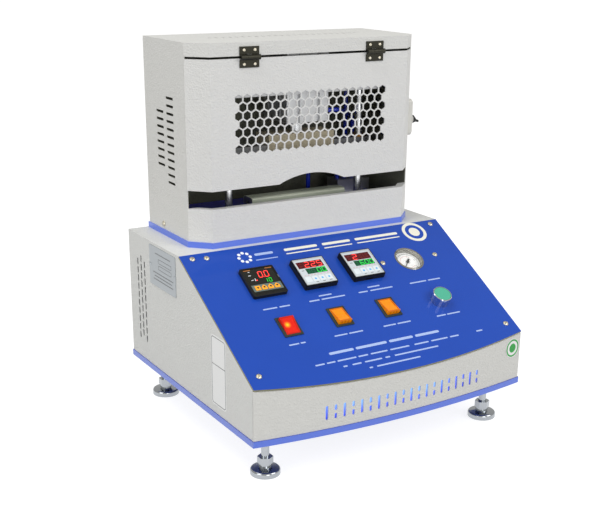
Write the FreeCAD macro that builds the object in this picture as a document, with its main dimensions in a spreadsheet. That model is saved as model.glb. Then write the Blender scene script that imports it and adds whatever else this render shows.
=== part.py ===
import FreeCAD, Part
import math
import os
import Sketcher

# Bench heat-seal tester: a bowed console on levelling feet, with a guarded press tower on top.
# Millimetres. X runs to the right, Y to the back and Z up. The origin is on the bench,
# under the middle of the bounding box. A "run" is measured back from the line through the
# console's two front corners, and a "row" up the slope of the control panel.

os.makedirs("parts", exist_ok=True)
doc = FreeCAD.newDocument("heat_sealer")
sheet = doc.addObject("Spreadsheet::Sheet", "Sizes")

SIZES = {
    "console_width": 400,
    "console_depth": 350,
    "console_rise": 174,
    "console_wall": 2,
    "apron_rise": 65,
    "bow_rise": 16.5,
    "panel_run": 190,
    "panel_thick": 2.5,
    "panel_overhang": 1,
    "seam_gap": 0.3,
    "shadow_gap": 1.2,
    "running_gap": 0.08,
    "base_thick": 8,
    "base_lip": 1,
    "foot_rise": 53,
    "foot_inset": 32,
    "foot_front_run": 30,
    "foot_back_run": 316,
    "pad_radius": 18.5,
    "pad_thick": 8,
    "pad_neck": 14.2,
    "stud_radius": 5,
    "stud_reach": 16,
    "foot_nut_flats": 17,
    "foot_nut_thick": 8.4,
    "vent_long": 10,
    "vent_wide": 3.6,
    "vent_pitch": 11.6,
    "vent_count": 10,
    "vent_run": 300,
    "vent_columns_pitch": 11,
    "vent_low": 31,
    "plate_long": 80,
    "plate_tall": 53,
    "plate_run": 240,
    "plate_middle": 143.5,
    "plate_thick": 0.8,
    "rivet_spread": 37.5,
    "light_slot_tall": 18,
    "light_slot_wide": 3.4,
    "light_slot_low": 11,
    "light_slot_pitch": 24,
    "light_slot_count": 10,
    "light_slot_start": -108,
    "light_half": 130,
    "light_thick": 3,
    "light_margin": 4,
    "timer_column": -113,
    "upper_column": -39.5,
    "lower_column": 34,
    "right_column": 113,
    "instrument_row": 153.8,
    "rocker_row": 79,
    "button_row": 74.6,
    "instrument_side": 48,
    "instrument_body": 44.6,
    "instrument_depth": 62,
    "cutout_gap": 0.2,
    "timer_lift": 6,
    "window_sink": 0.8,
    "key_half": 3.6,
    "key_pitch": 9,
    "key_row": -11.5,
    "key_depth": 2.2,
    "key_stand": 1,
    "key_travel": 0.8,
    "controller_lift": 6.4,
    "face_side": 45.8,
    "face_thick": 1.6,
    "display_sink": 0.6,
    "gauge_radius": 19.7,
    "gauge_lip": 1.2,
    "gauge_wall": 1.2,
    "gauge_rim": 0.9,
    "gauge_depth": 27,
    "dial_sink": 6.2,
    "dial_thick": 0.8,
    "lens_sink": 1.8,
    "lens_thick": 1.4,
    "needle_sink": 4.6,
    "needle_thick": 0.6,
    "needle_long": 14.5,
    "needle_tail": 6,
    "arbor_radius": 1,
    "bracket_spread": 43.3,
    "bracket_tall": 50,
    "bracket_thick": 1.6,
    "button_radius": 12.8,
    "button_rise": 13,
    "button_wall": 1.1,
    "button_stem": 4,
    "button_barrel": 10.9,
    "button_depth": 40,
    "button_travel": 3.5,
    "cap_thick": 3.4,
    "rocker_long": 31.5,
    "rocker_wide": 26,
    "rocker_lift": 2,
    "rocker_body_long": 28.4,
    "rocker_body_wide": 21.6,
    "rocker_depth": 24,
    "rocker_well": 8,
    "rocker_half": 12.5,
    "rocker_tilt": 10,
    "pivot_sink": 1,
    "pivot_radius": 1.5,
    "panel_screw_row": 211,
    "panel_screw_low_row": 16,
    "panel_screw_spread": 185,
    "screw_head": 3.6,
    "screw_shank": 1.9,
    "tower_run": 201,
    "tower_width": 340,
    "tower_depth": 145,
    "tower_rise": 253,
    "tower_chamfer": 23.3,
    "tower_wall": 1.6,
    "band_rise": 7.6,
    "band_lip": 1.4,
    "sill_rise": 50,
    "sill_flange": 10,
    "door_low": 73,
    "arch_half": 50,
    "arch_rise": 11,
    "hole_flats": 10.3,
    "hole_pitch": 12,
    "hole_columns": 19,
    "hole_rows": 7,
    "grille_rise": 153.8,
    "hinge_rise": 235.3,
    "hinge_spread": 93,
    "slit_half": 1.4,
    "leaf_wide": 27,
    "leaf_tall": 12.7,
    "leaf_thick": 1.4,
    "barrel_radius": 3.3,
    "pin_radius": 1.25,
    "hinge_screw_spread": 7.5,
    "hinge_screw_rise": 8.4,
    "hinge_screw_head": 2,
    "hinge_screw_shank": 1.1,
    "side_slot_long": 22,
    "side_slot_wide": 3.4,
    "side_slot_pitch": 9.8,
    "short_column_run": 99,
    "short_column_low": 94,
    "short_column_count": 8,
    "tall_column_run": 69,
    "tall_column_low": 74,
    "tall_column_count": 12,
    "side_screw_run": 97,
    "side_screw_rise": 15,
    "roof_slot_long": 11,
    "roof_slot_wide": 3.2,
    "roof_slot_count": 24,
    "roof_slot_pitch": 9.6,
    "press_run": 44,
    "press_base_rise": 30,
    "press_base_width": 300,
    "press_base_front": 36,
    "press_base_back": 80,
    "press_base_wall": 3,
    "rod_spread": 101,
    "rod_radius": 5,
    "rod_foot_radius": 10,
    "rod_foot_thick": 5,
    "rod_stud_radius": 4,
    "rod_nut_flats": 13,
    "rod_nut_thick": 6.5,
    "jaw_long": 145,
    "jaw_deep": 24,
    "jaw_round": 4,
    "jaw_foot": 4,
    "jaw_foot_long": 20,
    "lower_jaw_tall": 16.5,
    "cloth_thick": 0.4,
    "cloth_gap": 0.1,
    "upper_jaw_low": 80,
    "upper_jaw_tall": 25,
    "heater_radius": 4,
    "heater_deep": 30,
    "beam_tall": 14,
    "beam_deep": 28,
    "beam_width": 228,
    "bush_radius": 8,
    "bush_flange": 3,
    "bush_flange_thick": 2.5,
    "block_long": 100,
    "block_wall": 3,
    "block_cap": 13,
    "block_skirt": 1,
    "piston_rod_radius": 10,
    "piston_stud_radius": 6,
    "piston_thick": 12,
    "cylinder_side": 64,
    "cylinder_low": 148,
    "cylinder_base": 12,
    "groove_wide": 5,
    "groove_deep": 3,
    "groove_spread": 15,
    "head_low": 185,
    "head_thick": 12,
    "head_width": 236,
    "head_deep": 66,
    "neck_radius": 28,
    "bore_radius": 25,
    "barrel_rise": 48,
    "barrel_cap": 6,
    "low_port_rise": 8,
    "high_port_rise": 25,
    "fitting_long": 13,
    "tube_radius": 3,
    "tube_run": 95,
    "tube_first": 101,
    "tube_pitch": 12,
    "supply_column": 52,
    "valve_left": 93,
    "valve_long": 44,
    "valve_deep": 28,
    "valve_tall": 20,
    "box_run": 51,
    "box_rise": 139,
    "box_deep": 38,
    "box_tall": 50,
    "box_reach": 16,
    "box_round": 5,
    "box_bevel": 3,
    "toggle_run": 41,
    "toggle_rise": 135,
    "toggle_ring": 7,
    "toggle_ring_thick": 1.2,
    "toggle_pivot": 1.6,
    "toggle_tilt": 17,
    "boot_radius": 6,
    "boot_long": 8.6,
    "lever_radius": 1.7,
    "lever_long": 13,
    "inlet_spread": 120,
    "inlet_rise": 46,
    "mains_long": 27.6,
    "mains_tall": 19.8,
    "mains_deep": 18,
    "mains_flange_long": 50,
    "mains_flange_tall": 24,
    "mains_flange_thick": 2.5,
    "air_reach": 14,
    "air_body": 6.5,
    "air_stub": 5,
    "air_bore": 3.05,
    "air_bore_deep": 16,
}

for line, (alias, number) in enumerate(SIZES.items(), 1):
    sheet.set(f"A{line}", alias)
    sheet.set(f"B{line}", str(number))
    sheet.setAlias(f"B{line}", alias)
doc.recompute()

DIAGONAL = math.sqrt(2)
# How far a 45 degree corner moves along its walls when the outline shrinks by one.
CORNER_SHIFT = math.tan(math.radians(22.5))
# Height of a quarter-circle arc over its chord, as a share of the radius.
ROUND_BULGE = 1 - math.sqrt(0.5)


class Size:
    """A number kept together with the sheet expression that drives it."""

    def __init__(self, number, text):
        self.number = number
        self.text = text

    def __add__(self, other):
        other = as_size(other)
        return Size(self.number + other.number, f"({self.text} + {other.text})")

    def __sub__(self, other):
        other = as_size(other)
        return Size(self.number - other.number, f"({self.text} - {other.text})")

    def __mul__(self, other):
        other = as_size(other)
        return Size(self.number * other.number, f"({self.text} * {other.text})")

    def __truediv__(self, other):
        other = as_size(other)
        return Size(self.number / other.number, f"({self.text} / {other.text})")

    def __radd__(self, other):
        return as_size(other) + self

    def __rsub__(self, other):
        return as_size(other) - self

    def __rmul__(self, other):
        return as_size(other) * self

    def __neg__(self):
        return Size(-self.number, f"(-1 * {self.text})")


def as_size(value):
    """A plain number as a Size; a Size stays as it is."""
    if isinstance(value, Size):
        return value
    return Size(float(value), f"({float(value):.6f})")


def cell(name):
    """The Size that reads one cell of the sheet."""
    return Size(float(sheet.get(name)), f"Sizes.{name}")


def sine(angle):
    return Size(math.sin(math.radians(angle.number)), f"sin({angle.text} * 1 deg)")


def cosine(angle):
    return Size(math.cos(math.radians(angle.number)), f"cos({angle.text} * 1 deg)")


def slope_angle(rise, run):
    """The angle of a slope in degrees, as a plain number."""
    ratio = rise / run
    return Size(math.degrees(math.atan(ratio.number)), f"(atan({ratio.text}) / 1 deg)")


def root(value):
    return Size(math.sqrt(value.number), f"sqrt({value.text})")


def bind(thing, path, value):
    """Drives one property of an object by a Size."""
    thing.setExpression(path, as_size(value).text)


def put(thing, x=0, y=0, z=0, turn=None, axis=(1, 0, 0)):
    """Places an object, with an optional turn in degrees about an axis."""
    base = [as_size(value) for value in (x, y, z)]
    angle = as_size(turn or 0)
    start = FreeCAD.Vector(*[value.number for value in base])
    rotation = FreeCAD.Rotation(FreeCAD.Vector(*axis), angle.number)
    thing.Placement = FreeCAD.Placement(start, rotation)
    for letter, value in zip("xyz", base):
        bind(thing, f"Placement.Base.{letter}", value)
    if turn is not None:
        bind(thing, "Placement.Rotation.Angle", angle)


# Which way a sketch on each origin plane faces along its own axis.
FACING = {"XY_Plane": 1, "XZ_Plane": -1, "YZ_Plane": 1}
VIEWS = {"top": "XY_Plane", "front": "XZ_Plane", "side": "YZ_Plane"}


class Piece:
    """A body made of sketches and features. Its sketches are named by the view that they
    draw: top is X against Y, front is X against Z, side is Y against Z."""

    def __init__(self, name):
        self.body = doc.addObject("PartDesign::Body", name)
        self.body.Label = name

    def sketch(self, view, loops, circles, lift):
        """Closed outlines and circles on an origin plane that is lifted along its axis."""
        drawing = self.body.newObject("Sketcher::SketchObject", self.body.Name + "_sketch")
        role = VIEWS[view]
        plane = [item for item in self.body.Origin.OriginFeatures if item.Role == role][0]
        drawing.AttachmentSupport = [(plane, "")]
        drawing.MapMode = "FlatFace"
        bind(drawing, "AttachmentOffset.Base.z", FACING[role] * as_size(lift))
        for loop in loops:
            draw_loop(drawing, loop)
        for x, y, radius in circles:
            draw_circle(drawing, x, y, radius)
        drawing.Visibility = False
        return drawing

    def feature(self, kind, drawing, length, way):
        """A pad or pocket that runs up (1), down (-1) or both ways (0) along its axis."""
        made = self.body.newObject(kind, self.body.Name + "_feature")
        made.Profile = drawing
        facing = FACING[drawing.AttachmentSupport[0][0].Role]
        natural = facing if kind == "PartDesign::Pad" else -facing
        if way == 0:
            made.SideType = "Symmetric"
        made.Reversed = way != 0 and natural != way
        bind(made, "Length", length)
        self.body.Tip = made
        return made

    def pad(self, view, length, loops=(), circles=(), lift=0, way=1):
        drawing = self.sketch(view, loops, circles, lift)
        return self.feature("PartDesign::Pad", drawing, length, way)

    def pocket(self, view, length, loops=(), circles=(), lift=0, way=1):
        drawing = self.sketch(view, loops, circles, lift)
        return self.feature("PartDesign::Pocket", drawing, length, way)

    def turned(self, loop):
        """A solid turned about Z from an outline in the front view."""
        drawing = self.sketch("front", [loop], (), 0)
        made = self.body.newObject("PartDesign::Revolution", self.body.Name + "_turned")
        made.Profile = drawing
        made.ReferenceAxis = (drawing, ["V_Axis"])
        made.Angle = 360
        self.body.Tip = made
        return made

    def repeat(self, feature, axis, count, pitch):
        """Repeats a feature along one of its sketch's axes."""
        pattern = self.body.newObject("PartDesign::LinearPattern", self.body.Name + "_pattern")
        pattern.Originals = [feature]
        pattern.Direction = (feature.Profile[0], [axis])
        pattern.Mode = "Spacing"
        bind(pattern, "Occurrences", count)
        bind(pattern, "Offset", pitch)
        self.body.Tip = pattern
        return pattern

    def bevel(self, axis, level, size):
        """Chamfers every edge that lies whole at one level of an axis."""
        doc.recompute()
        base = self.body.Tip
        level = as_size(level).number
        names = []
        for number, edge in enumerate(base.Shape.Edges, 1):
            low = getattr(edge.BoundBox, axis + "Min")
            high = getattr(edge.BoundBox, axis + "Max")
            if abs(low - level) < 1e-4 and abs(high - level) < 1e-4:
                names.append(f"Edge{number}")
        made = self.body.newObject("PartDesign::Chamfer", self.body.Name + "_bevel")
        made.Base = (base, names)
        bind(made, "Size", size)
        self.body.Tip = made
        return made

    def place(self, x=0, y=0, z=0, turn=None, axis=(1, 0, 0)):
        put(self.body, x, y, z, turn, axis)
        return self.body


def pin(drawing, kind, geometry, end, value):
    """Fixes a point of a sketch at a driven distance from the sketch's origin."""
    rule = Sketcher.Constraint(kind, -1, 1, geometry, end, value.number)
    index = drawing.addConstraint(rule)
    drawing.setExpression(f"Constraints[{index}]", value.text)


def pin_point(drawing, geometry, end, x, y):
    pin(drawing, "DistanceX", geometry, end, as_size(x))
    pin(drawing, "DistanceY", geometry, end, as_size(y))


def draw_circle(drawing, x, y, radius):
    x, y, radius = as_size(x), as_size(y), as_size(radius)
    centre = FreeCAD.Vector(x.number, y.number, 0)
    circle = Part.Circle(centre, FreeCAD.Vector(0, 0, 1), radius.number)
    geometry = drawing.addGeometry(circle, False)
    pin_point(drawing, geometry, 3, x, y)
    index = drawing.addConstraint(Sketcher.Constraint("Radius", geometry, radius.number))
    drawing.setExpression(f"Constraints[{index}]", radius.text)


def draw_loop(drawing, loop):
    """Lines and arcs round a closed outline, with every corner pinned. A corner is (x, y),
    or (x, y, bulge) where an arc arrives: bulge is the arc's height over its chord, to the
    right of the way it runs."""
    corners = [[as_size(value) for value in corner] for corner in loop]
    starts = []
    ends = []
    for number, corner in enumerate(corners):
        tail = corners[number - 1]
        p = FreeCAD.Vector(tail[0].number, tail[1].number, 0)
        q = FreeCAD.Vector(corner[0].number, corner[1].number, 0)
        if len(corner) == 2:
            geometry = drawing.addGeometry(Part.LineSegment(p, q), False)
            starts.append((geometry, 1))
            ends.append((geometry, 2))
            continue
        bulge = corner[2]
        forward = bulge.number > 0
        height = bulge if forward else -bulge
        across = corner[0] - tail[0]
        along = corner[1] - tail[1]
        chord = root(across * across + along * along)
        radius = (chord * chord / 4 + height * height) / (2 * height)
        reach = height - radius if forward else radius - height
        middle_x = (tail[0] + corner[0]) / 2 + along / chord * reach
        middle_y = (tail[1] + corner[1]) / 2 - across / chord * reach
        centre = FreeCAD.Vector(middle_x.number, middle_y.number, 0)
        first, last = (p, q) if forward else (q, p)
        begin = math.atan2(first.y - centre.y, first.x - centre.x)
        finish = math.atan2(last.y - centre.y, last.x - centre.x)
        if finish <= begin:
            finish += 2 * math.pi
        circle = Part.Circle(centre, FreeCAD.Vector(0, 0, 1), radius.number)
        geometry = drawing.addGeometry(Part.ArcOfCircle(circle, begin, finish), False)
        starts.append((geometry, 1 if forward else 2))
        ends.append((geometry, 2 if forward else 1))
        if abs(across.number) > abs(along.number):
            pin(drawing, "DistanceY", geometry, 3, middle_y)
        else:
            pin(drawing, "DistanceX", geometry, 3, middle_x)
    for number, (geometry, end) in enumerate(ends):
        following = starts[(number + 1) % len(starts)]
        drawing.addConstraint(Sketcher.Constraint("Coincident", geometry, end, *following))
        pin_point(drawing, geometry, end, corners[number][0], corners[number][1])


def rectangle(x0, x1, y0, y1):
    return [(x0, y0), (x1, y0), (x1, y1), (x0, y1)]


def centred(x, y, long, tall):
    """A rectangle about a point."""
    return rectangle(x - long / 2, x + long / 2, y - tall / 2, y + tall / 2)


def rounded(x, y, long, tall, radius):
    """A rectangle about a point, with rounded corners."""
    bulge = radius * ROUND_BULGE
    x0, x1 = x - long / 2, x + long / 2
    y0, y1 = y - tall / 2, y + tall / 2
    return [
        (x0 + radius, y0, bulge),
        (x1 - radius, y0),
        (x1, y0 + radius, bulge),
        (x1, y1 - radius),
        (x1 - radius, y1, bulge),
        (x0 + radius, y1),
        (x0, y1 - radius, bulge),
        (x0, y0 + radius),
    ]


def upright_slot(x, y, wide, tall):
    """A slot with round ends, standing up, about a point."""
    radius = wide / 2
    flat = tall / 2 - radius
    return [
        (x - radius, y - flat),
        (x + radius, y - flat, radius),
        (x + radius, y + flat),
        (x - radius, y + flat, radius),
    ]


def crown(reach, rise):
    """Bulge of an arc that climbs by rise over reach and ends level."""
    chord = root(reach * reach + rise * rise)
    return chord * (chord - reach) / (2 * rise)


def level_slot(x, y, long, tall):
    """A slot with round ends, lying level, about a point."""
    radius = tall / 2
    flat = long / 2 - radius
    return [
        (x - flat, y - radius),
        (x + flat, y - radius),
        (x + flat, y + radius, radius),
        (x - flat, y + radius),
        (x - flat, y - radius, radius),
    ][1:]


def hexagon(x, y, flats):
    """A hexagon with two flats upright and its points up and down."""
    point = flats / math.sqrt(3)
    half_flats = flats / 2
    return [
        (x, y - point),
        (x + half_flats, y - point / 2),
        (x + half_flats, y + point / 2),
        (x, y + point),
        (x - half_flats, y + point / 2),
        (x - half_flats, y - point / 2),
    ]


NODES = []


def keep(thing, label):
    """Names a finished sub-part and lists it for export."""
    thing.Label = label
    NODES.append(thing)
    return thing


def group(label, members):
    """One node that holds several separate solids."""
    compound = doc.addObject("Part::Compound", label)
    compound.Links = members
    return keep(compound, label)


# The console's main lines.
half_width = cell("console_width") / 2
depth = cell("console_depth")
wall = cell("console_wall")
bow = cell("bow_rise")
seam = cell("seam_gap")
fit = cell("running_gap")
base_top = cell("foot_rise") + cell("base_thick")
deck = base_top + cell("console_rise")
corner_y = (bow + cell("base_lip") - depth - cell("air_reach")) / 2
slope = slope_angle(cell("console_rise") - cell("apron_rise"), cell("panel_run"))
climb = sine(slope) / cosine(slope)
panel_long = cell("panel_run") / cosine(slope)
panel_drop = cell("panel_thick") / cosine(slope)
bow_radius = (half_width * half_width + bow * bow) / (2 * bow)


def on_panel(thing, column, row, lift=0, turn=0):
    """Places a piece on the control panel: lift is measured straight out of its face."""
    lift = as_size(lift)
    y = corner_y + row * cosine(slope) - lift * sine(slope)
    z = base_top + cell("apron_rise") + row * sine(slope) + lift * cosine(slope)
    put(thing, column, y, z, slope + turn)
    return thing


def base_plate():
    """Blue base plate with a bowed front edge, bored for the four levelling studs."""
    lip = cell("base_lip")
    x = half_width + lip
    outline = [(-x, -lip), (x, -lip, bow), (x, depth + lip), (-x, depth + lip)]
    bore = cell("stud_radius") + fit
    piece = Piece("base_plate")
    piece.pad("top", cell("base_thick"), [outline], [(x, y, bore) for x, y in foot_places()])
    return keep(piece.place(0, corner_y, cell("foot_rise")), "base_plate")


def foot_places():
    x = half_width - cell("foot_inset")
    return [(side * x, cell(run)) for run in ("foot_front_run", "foot_back_run") for side in (-1, 1)]


def levelling_foot(label, x, y):
    """A turned pad, and a threaded stud whose hexagon stands on the pad's neck."""
    radius = cell("pad_radius")
    thick = cell("pad_thick")
    neck = cell("pad_neck")
    spigot = cell("stud_radius") - 2
    socket = neck - 8
    pad = Piece(label + "_pad")
    pad.turned([
        (0, 0),
        (radius - 1, 0),
        (radius, 1, 0.3),
        (radius, thick - 3),
        (radius - 3, thick, 3 * ROUND_BULGE),
        (cell("stud_radius") + 3, thick + 1.5),
        (cell("stud_radius") + 3, neck),
        (spigot + fit, neck),
        (spigot + fit, socket),
        (0, socket),
    ])
    pad.place(x, corner_y + y, 0)
    nut_top = neck + cell("foot_nut_thick")
    top = base_top + cell("stud_reach")
    stud = Piece(label + "_stud")
    stud.pad("top", cell("foot_nut_thick"), [hexagon(0, 0, cell("foot_nut_flats"))], lift=neck)
    stud.pad("top", top - nut_top, circles=[(0, 0, cell("stud_radius"))], lift=nut_top)
    stud.pad("top", neck - socket, circles=[(0, 0, spigot)], lift=socket)
    stud.place(x, corner_y + y, 0)
    return group(label, [pad.body, stud.body])


def console_shell():
    """Folded side, back and top sheets. The vents go through both sides, near the back."""
    width = cell("console_width")
    rise = cell("console_rise")
    thick = cell("panel_thick")
    front = wall + seam
    top_front = cell("panel_run") + seam
    lip_drop = thick * cosine(slope) - seam * climb
    outline = [
        (front, 0),
        (depth, 0),
        (depth, rise),
        (top_front, rise),
        (top_front + thick * sine(slope), rise - lip_drop),
        (front, cell("apron_rise") + front * climb - panel_drop),
    ]
    piece = Piece("console_shell")
    piece.pad("side", width, [outline], way=0)
    inside = rectangle(front - 5, depth - wall, -1, rise - wall)
    piece.pocket("side", width - 2 * wall, [inside], way=0)
    pitch = cell("vent_pitch")
    vents = []
    for column in range(3):
        run = cell("vent_run") + column * cell("vent_columns_pitch")
        low = cell("vent_low") + (column % 2) * pitch / 2
        vents.append(upright_slot(run, low, cell("vent_wide"), cell("vent_long")))
    cut = piece.pocket("side", width + 2, vents, way=0)
    piece.repeat(cut, "V_Axis", cell("vent_count"), pitch)
    x = cell("inlet_spread")
    z = cell("inlet_rise")
    gap = 2 * seam
    mains = centred(x, z, cell("mains_long") + gap, cell("mains_tall") + gap)
    air = (-x, z, cell("air_stub") + cell("cutout_gap"))
    piece.pocket("front", wall + 2, [mains], [air], lift=depth + 1, way=-1)
    return keep(piece.place(0, corner_y, base_top), "console_shell")


def front_apron():
    """Bowed front sheet, trimmed under the panel, with a row of light slots low down."""
    rise = cell("apron_rise")
    piece = Piece("front_apron")
    outline = [(-half_width, 0), (half_width, 0, bow), (half_width, wall), (-half_width, wall, -bow)]
    piece.pad("top", rise + 5, [outline])
    trim = cell("shadow_gap") + panel_drop
    y0 = -(bow + 5)
    y1 = wall + 5
    above = [(y0, rise + y0 * climb - trim), (y1, rise + y1 * climb - trim), (y1, rise + 20), (y0, rise + 20)]
    piece.pocket("side", cell("console_width") + 10, [above], way=0)
    wide = cell("light_slot_wide")
    tall = cell("light_slot_tall")
    low = cell("light_slot_low")
    pitch = cell("light_slot_pitch")
    start = cell("light_slot_start")
    short = (tall - wide) / 2
    through = bow + wall + 10
    count = cell("light_slot_count")
    tall_slot = upright_slot(start, low + tall / 2, wide, tall)
    cut = piece.pocket("front", through, [tall_slot], lift=y0)
    piece.repeat(cut, "H_Axis", count, pitch)
    x = start + pitch / 2
    low_slot = upright_slot(x, low + short / 2, wide, short)
    high_slot = upright_slot(x, low + tall - short / 2, wide, short)
    cut = piece.pocket("front", through, [low_slot, high_slot], lift=y0)
    piece.repeat(cut, "H_Axis", count, pitch)
    return keep(piece.place(0, corner_y, base_top), "front_apron")


def light_panel():
    """Glowing strip that follows the bow just behind the apron's slots."""
    reach = cell("light_half")
    sag = bow_radius - root(bow_radius * bow_radius - reach * reach)
    y0 = wall + seam + sag - bow
    y1 = y0 + cell("light_thick")
    margin = cell("light_margin")
    tall = cell("light_slot_tall") + 2 * margin
    piece = Piece("light_panel")
    outline = [(-reach, y0), (reach, y0, sag), (reach, y1), (-reach, y1, -sag)]
    piece.pad("top", tall, [outline], lift=cell("light_slot_low") - margin)
    return keep(piece.place(0, corner_y, base_top), "light_panel")


def panel_screw_places():
    spread = cell("panel_screw_spread")
    low = cell("panel_screw_low_row")
    high = cell("panel_screw_row")
    gauge = cell("right_column")
    bracket = cell("bracket_spread")
    row = cell("instrument_row")
    return [
        (-spread, low),
        (spread, low),
        (-spread, high),
        (spread, high),
        (19 - spread, high - 2),
        (gauge - bracket, row),
        (gauge + bracket, row),
    ]


INSTRUMENT_COLUMNS = ("timer_column", "upper_column", "lower_column")


def control_panel():
    """Sloped blue plate whose lower edge follows the bow, cut out for its instruments."""
    thick = cell("panel_thick")
    over = cell("panel_overhang")
    outline = [
        (-half_width, -over),
        (half_width, -over, bow / cosine(slope)),
        (half_width, panel_long),
        (-half_width, panel_long),
    ]
    gap = 2 * cell("cutout_gap")
    square = cell("instrument_body") + gap
    rocker = (cell("rocker_body_wide") + gap, cell("rocker_body_long") + gap)
    loops = [outline]
    for column in INSTRUMENT_COLUMNS:
        loops.append(centred(cell(column), cell("instrument_row"), square, square))
        loops.append(centred(cell(column), cell("rocker_row"), *rocker))
    right = cell("right_column")
    circles = [(x, row, cell("screw_shank") + cell("cutout_gap")) for x, row in panel_screw_places()]
    circles.append((right, cell("instrument_row"), cell("gauge_radius") + seam))
    circles.append((right, cell("button_row"), cell("button_barrel") + cell("cutout_gap")))
    piece = Piece("control_panel")
    piece.pad("top", thick, loops, circles, lift=-thick)
    return keep(on_panel(piece.body, 0, as_size(0)), "control_panel")


def pan_screw(name, head, shank, reach):
    """A slotted pan-head screw that stands on Z."""
    rise = head * 0.6
    crest = head / 3
    piece = Piece(name)
    piece.turned([
        (0, -reach),
        (shank, -reach),
        (shank, 0),
        (head, 0),
        (head, rise / 3),
        (crest, rise, crown(head - crest, rise * 2 / 3)),
        (0, rise),
    ])
    piece.pocket("top", rise, [centred(as_size(0), as_size(0), head * 3, head / 4)], lift=rise * 0.55)
    return piece.body


def panel_screws():
    """Seven screws on the panel, and the one low on the tower's left side."""
    reach = cell("panel_thick") + cell("bracket_thick") + 3
    screws = []
    for number, (x, row) in enumerate(panel_screw_places()):
        screw = pan_screw(f"panel_screw_{number}", cell("screw_head"), cell("screw_shank"), reach)
        screws.append(on_panel(screw, x, row))
    side = pan_screw("side_screw", cell("screw_head"), cell("screw_shank"), cell("tower_wall") + 3)
    y = tower_y + cell("side_screw_run")
    put(side, -tower_half, y, deck + cell("side_screw_rise"), -90, (0, 1, 0))
    return group("case_screws", screws + [side])


def rating_plate():
    """Bare metal plate on the left side, held by two rivets."""
    thick = cell("plate_thick")
    spread = cell("rivet_spread")
    rivet = cell("cutout_gap") + 1
    plate = Piece("rating_plate_sheet")
    zero = as_size(0)
    crest = rivet / 3
    dome = as_size(1.1)
    outline = rounded(zero, zero, cell("plate_long"), cell("plate_tall"), as_size(2))
    holes = [(-spread, 0, rivet + fit), (spread, 0, rivet + fit)]
    plate.pad("side", thick, [outline], holes, way=-1)
    y = corner_y + cell("plate_run")
    z = base_top + cell("plate_middle")
    plate.place(-half_width, y, z)
    members = [plate.body]
    for side in (-1, 1):
        head = Piece(f"rivet_{side + 1}")
        head.turned([
            (0, 0),
            (rivet, 0),
            (rivet, thick),
            (rivet * 2, thick),
            (crest, thick + dome, crown(rivet * 2 - crest, dome)),
            (0, thick + dome),
        ])
        head.place(-half_width, y + side * spread, z, -90, (0, 1, 0))
        members.append(head.body)
    return group("rating_plate", members)


def mains_inlet():
    """Three-pin appliance inlet in the back sheet."""
    long = cell("mains_long")
    tall = cell("mains_tall")
    zero = as_size(0)
    piece = Piece("mains_inlet")
    flange = rounded(zero, zero, cell("mains_flange_long"), cell("mains_flange_tall"), as_size(3))
    ears = (cell("mains_flange_long") - 10) / 2
    holes = [(-ears, 0, 1.7), (ears, 0, 1.7)]
    piece.pad("front", cell("mains_flange_thick"), [flange], holes)
    piece.pad("front", cell("mains_deep"), [centred(zero, zero, long, tall)], way=-1)
    x = long / 2 - 1.6
    z = tall / 2 - 1.6
    recess = [(-x, -z), (x, -z), (x, z - 4), (x - 4, z), (4 - x, z), (-x, z - 4)]
    mouth = cell("mains_flange_thick") + cell("mains_deep") - 3
    piece.pocket("front", mouth, [recess], lift=cell("mains_flange_thick"), way=-1)
    middles = ((-7, 0.5), (7, 0.5), (0, -3.5))
    blades = [centred(zero + x, zero + z, as_size(2), as_size(4)) for x, z in middles]
    piece.pad("front", mouth - 4, blades, lift=cell("mains_flange_thick") - mouth)
    place = (cell("inlet_spread"), corner_y + depth, base_top + cell("inlet_rise"))
    return keep(piece.place(*place), "mains_inlet")


def air_inlet():
    """Push-in fitting in the back sheet that takes the compressed-air tube."""
    reach = cell("air_reach")
    body = cell("air_body")
    stub = cell("air_stub")
    bore = cell("air_bore")
    floor = reach - cell("air_bore_deep")
    piece = Piece("air_inlet")
    piece.turned([
        (0, -12),
        (stub, -12),
        (stub, 0),
        (body + 2, 0),
        (body + 2, 3),
        (body, 3.6),
        (body, reach - 1),
        (body - 1, reach),
        (bore, reach),
        (bore, floor),
        (0, floor),
    ])
    place = (-cell("inlet_spread"), corner_y + depth, base_top + cell("inlet_rise"))
    return keep(piece.place(*place, -90), "air_inlet")


def house(x, y, size, gap=0):
    """A key shaped like a house with a pointed roof."""
    half_side = size + gap
    return [
        (x - half_side, y - half_side),
        (x + half_side, y - half_side),
        (x + half_side, y + size * 0.2 + gap * CORNER_SHIFT),
        (x, y + size * 1.2 + gap * DIAGONAL),
        (x - half_side, y + size * 0.2 + gap * CORNER_SHIFT),
    ]


def timer_keys():
    """Columns and outlines of the timer's four keys: one square and three houses."""
    size = cell("key_half")
    zero = as_size(0)
    for number in range(4):
        x = (number - 1.5) * cell("key_pitch")

        def outline(x, y, gap, square=number == 0):
            side = 2 * (size + gap)
            return centred(x, y, side, side) if square else house(x, y, size, gap)

        yield number, x, outline


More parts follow.
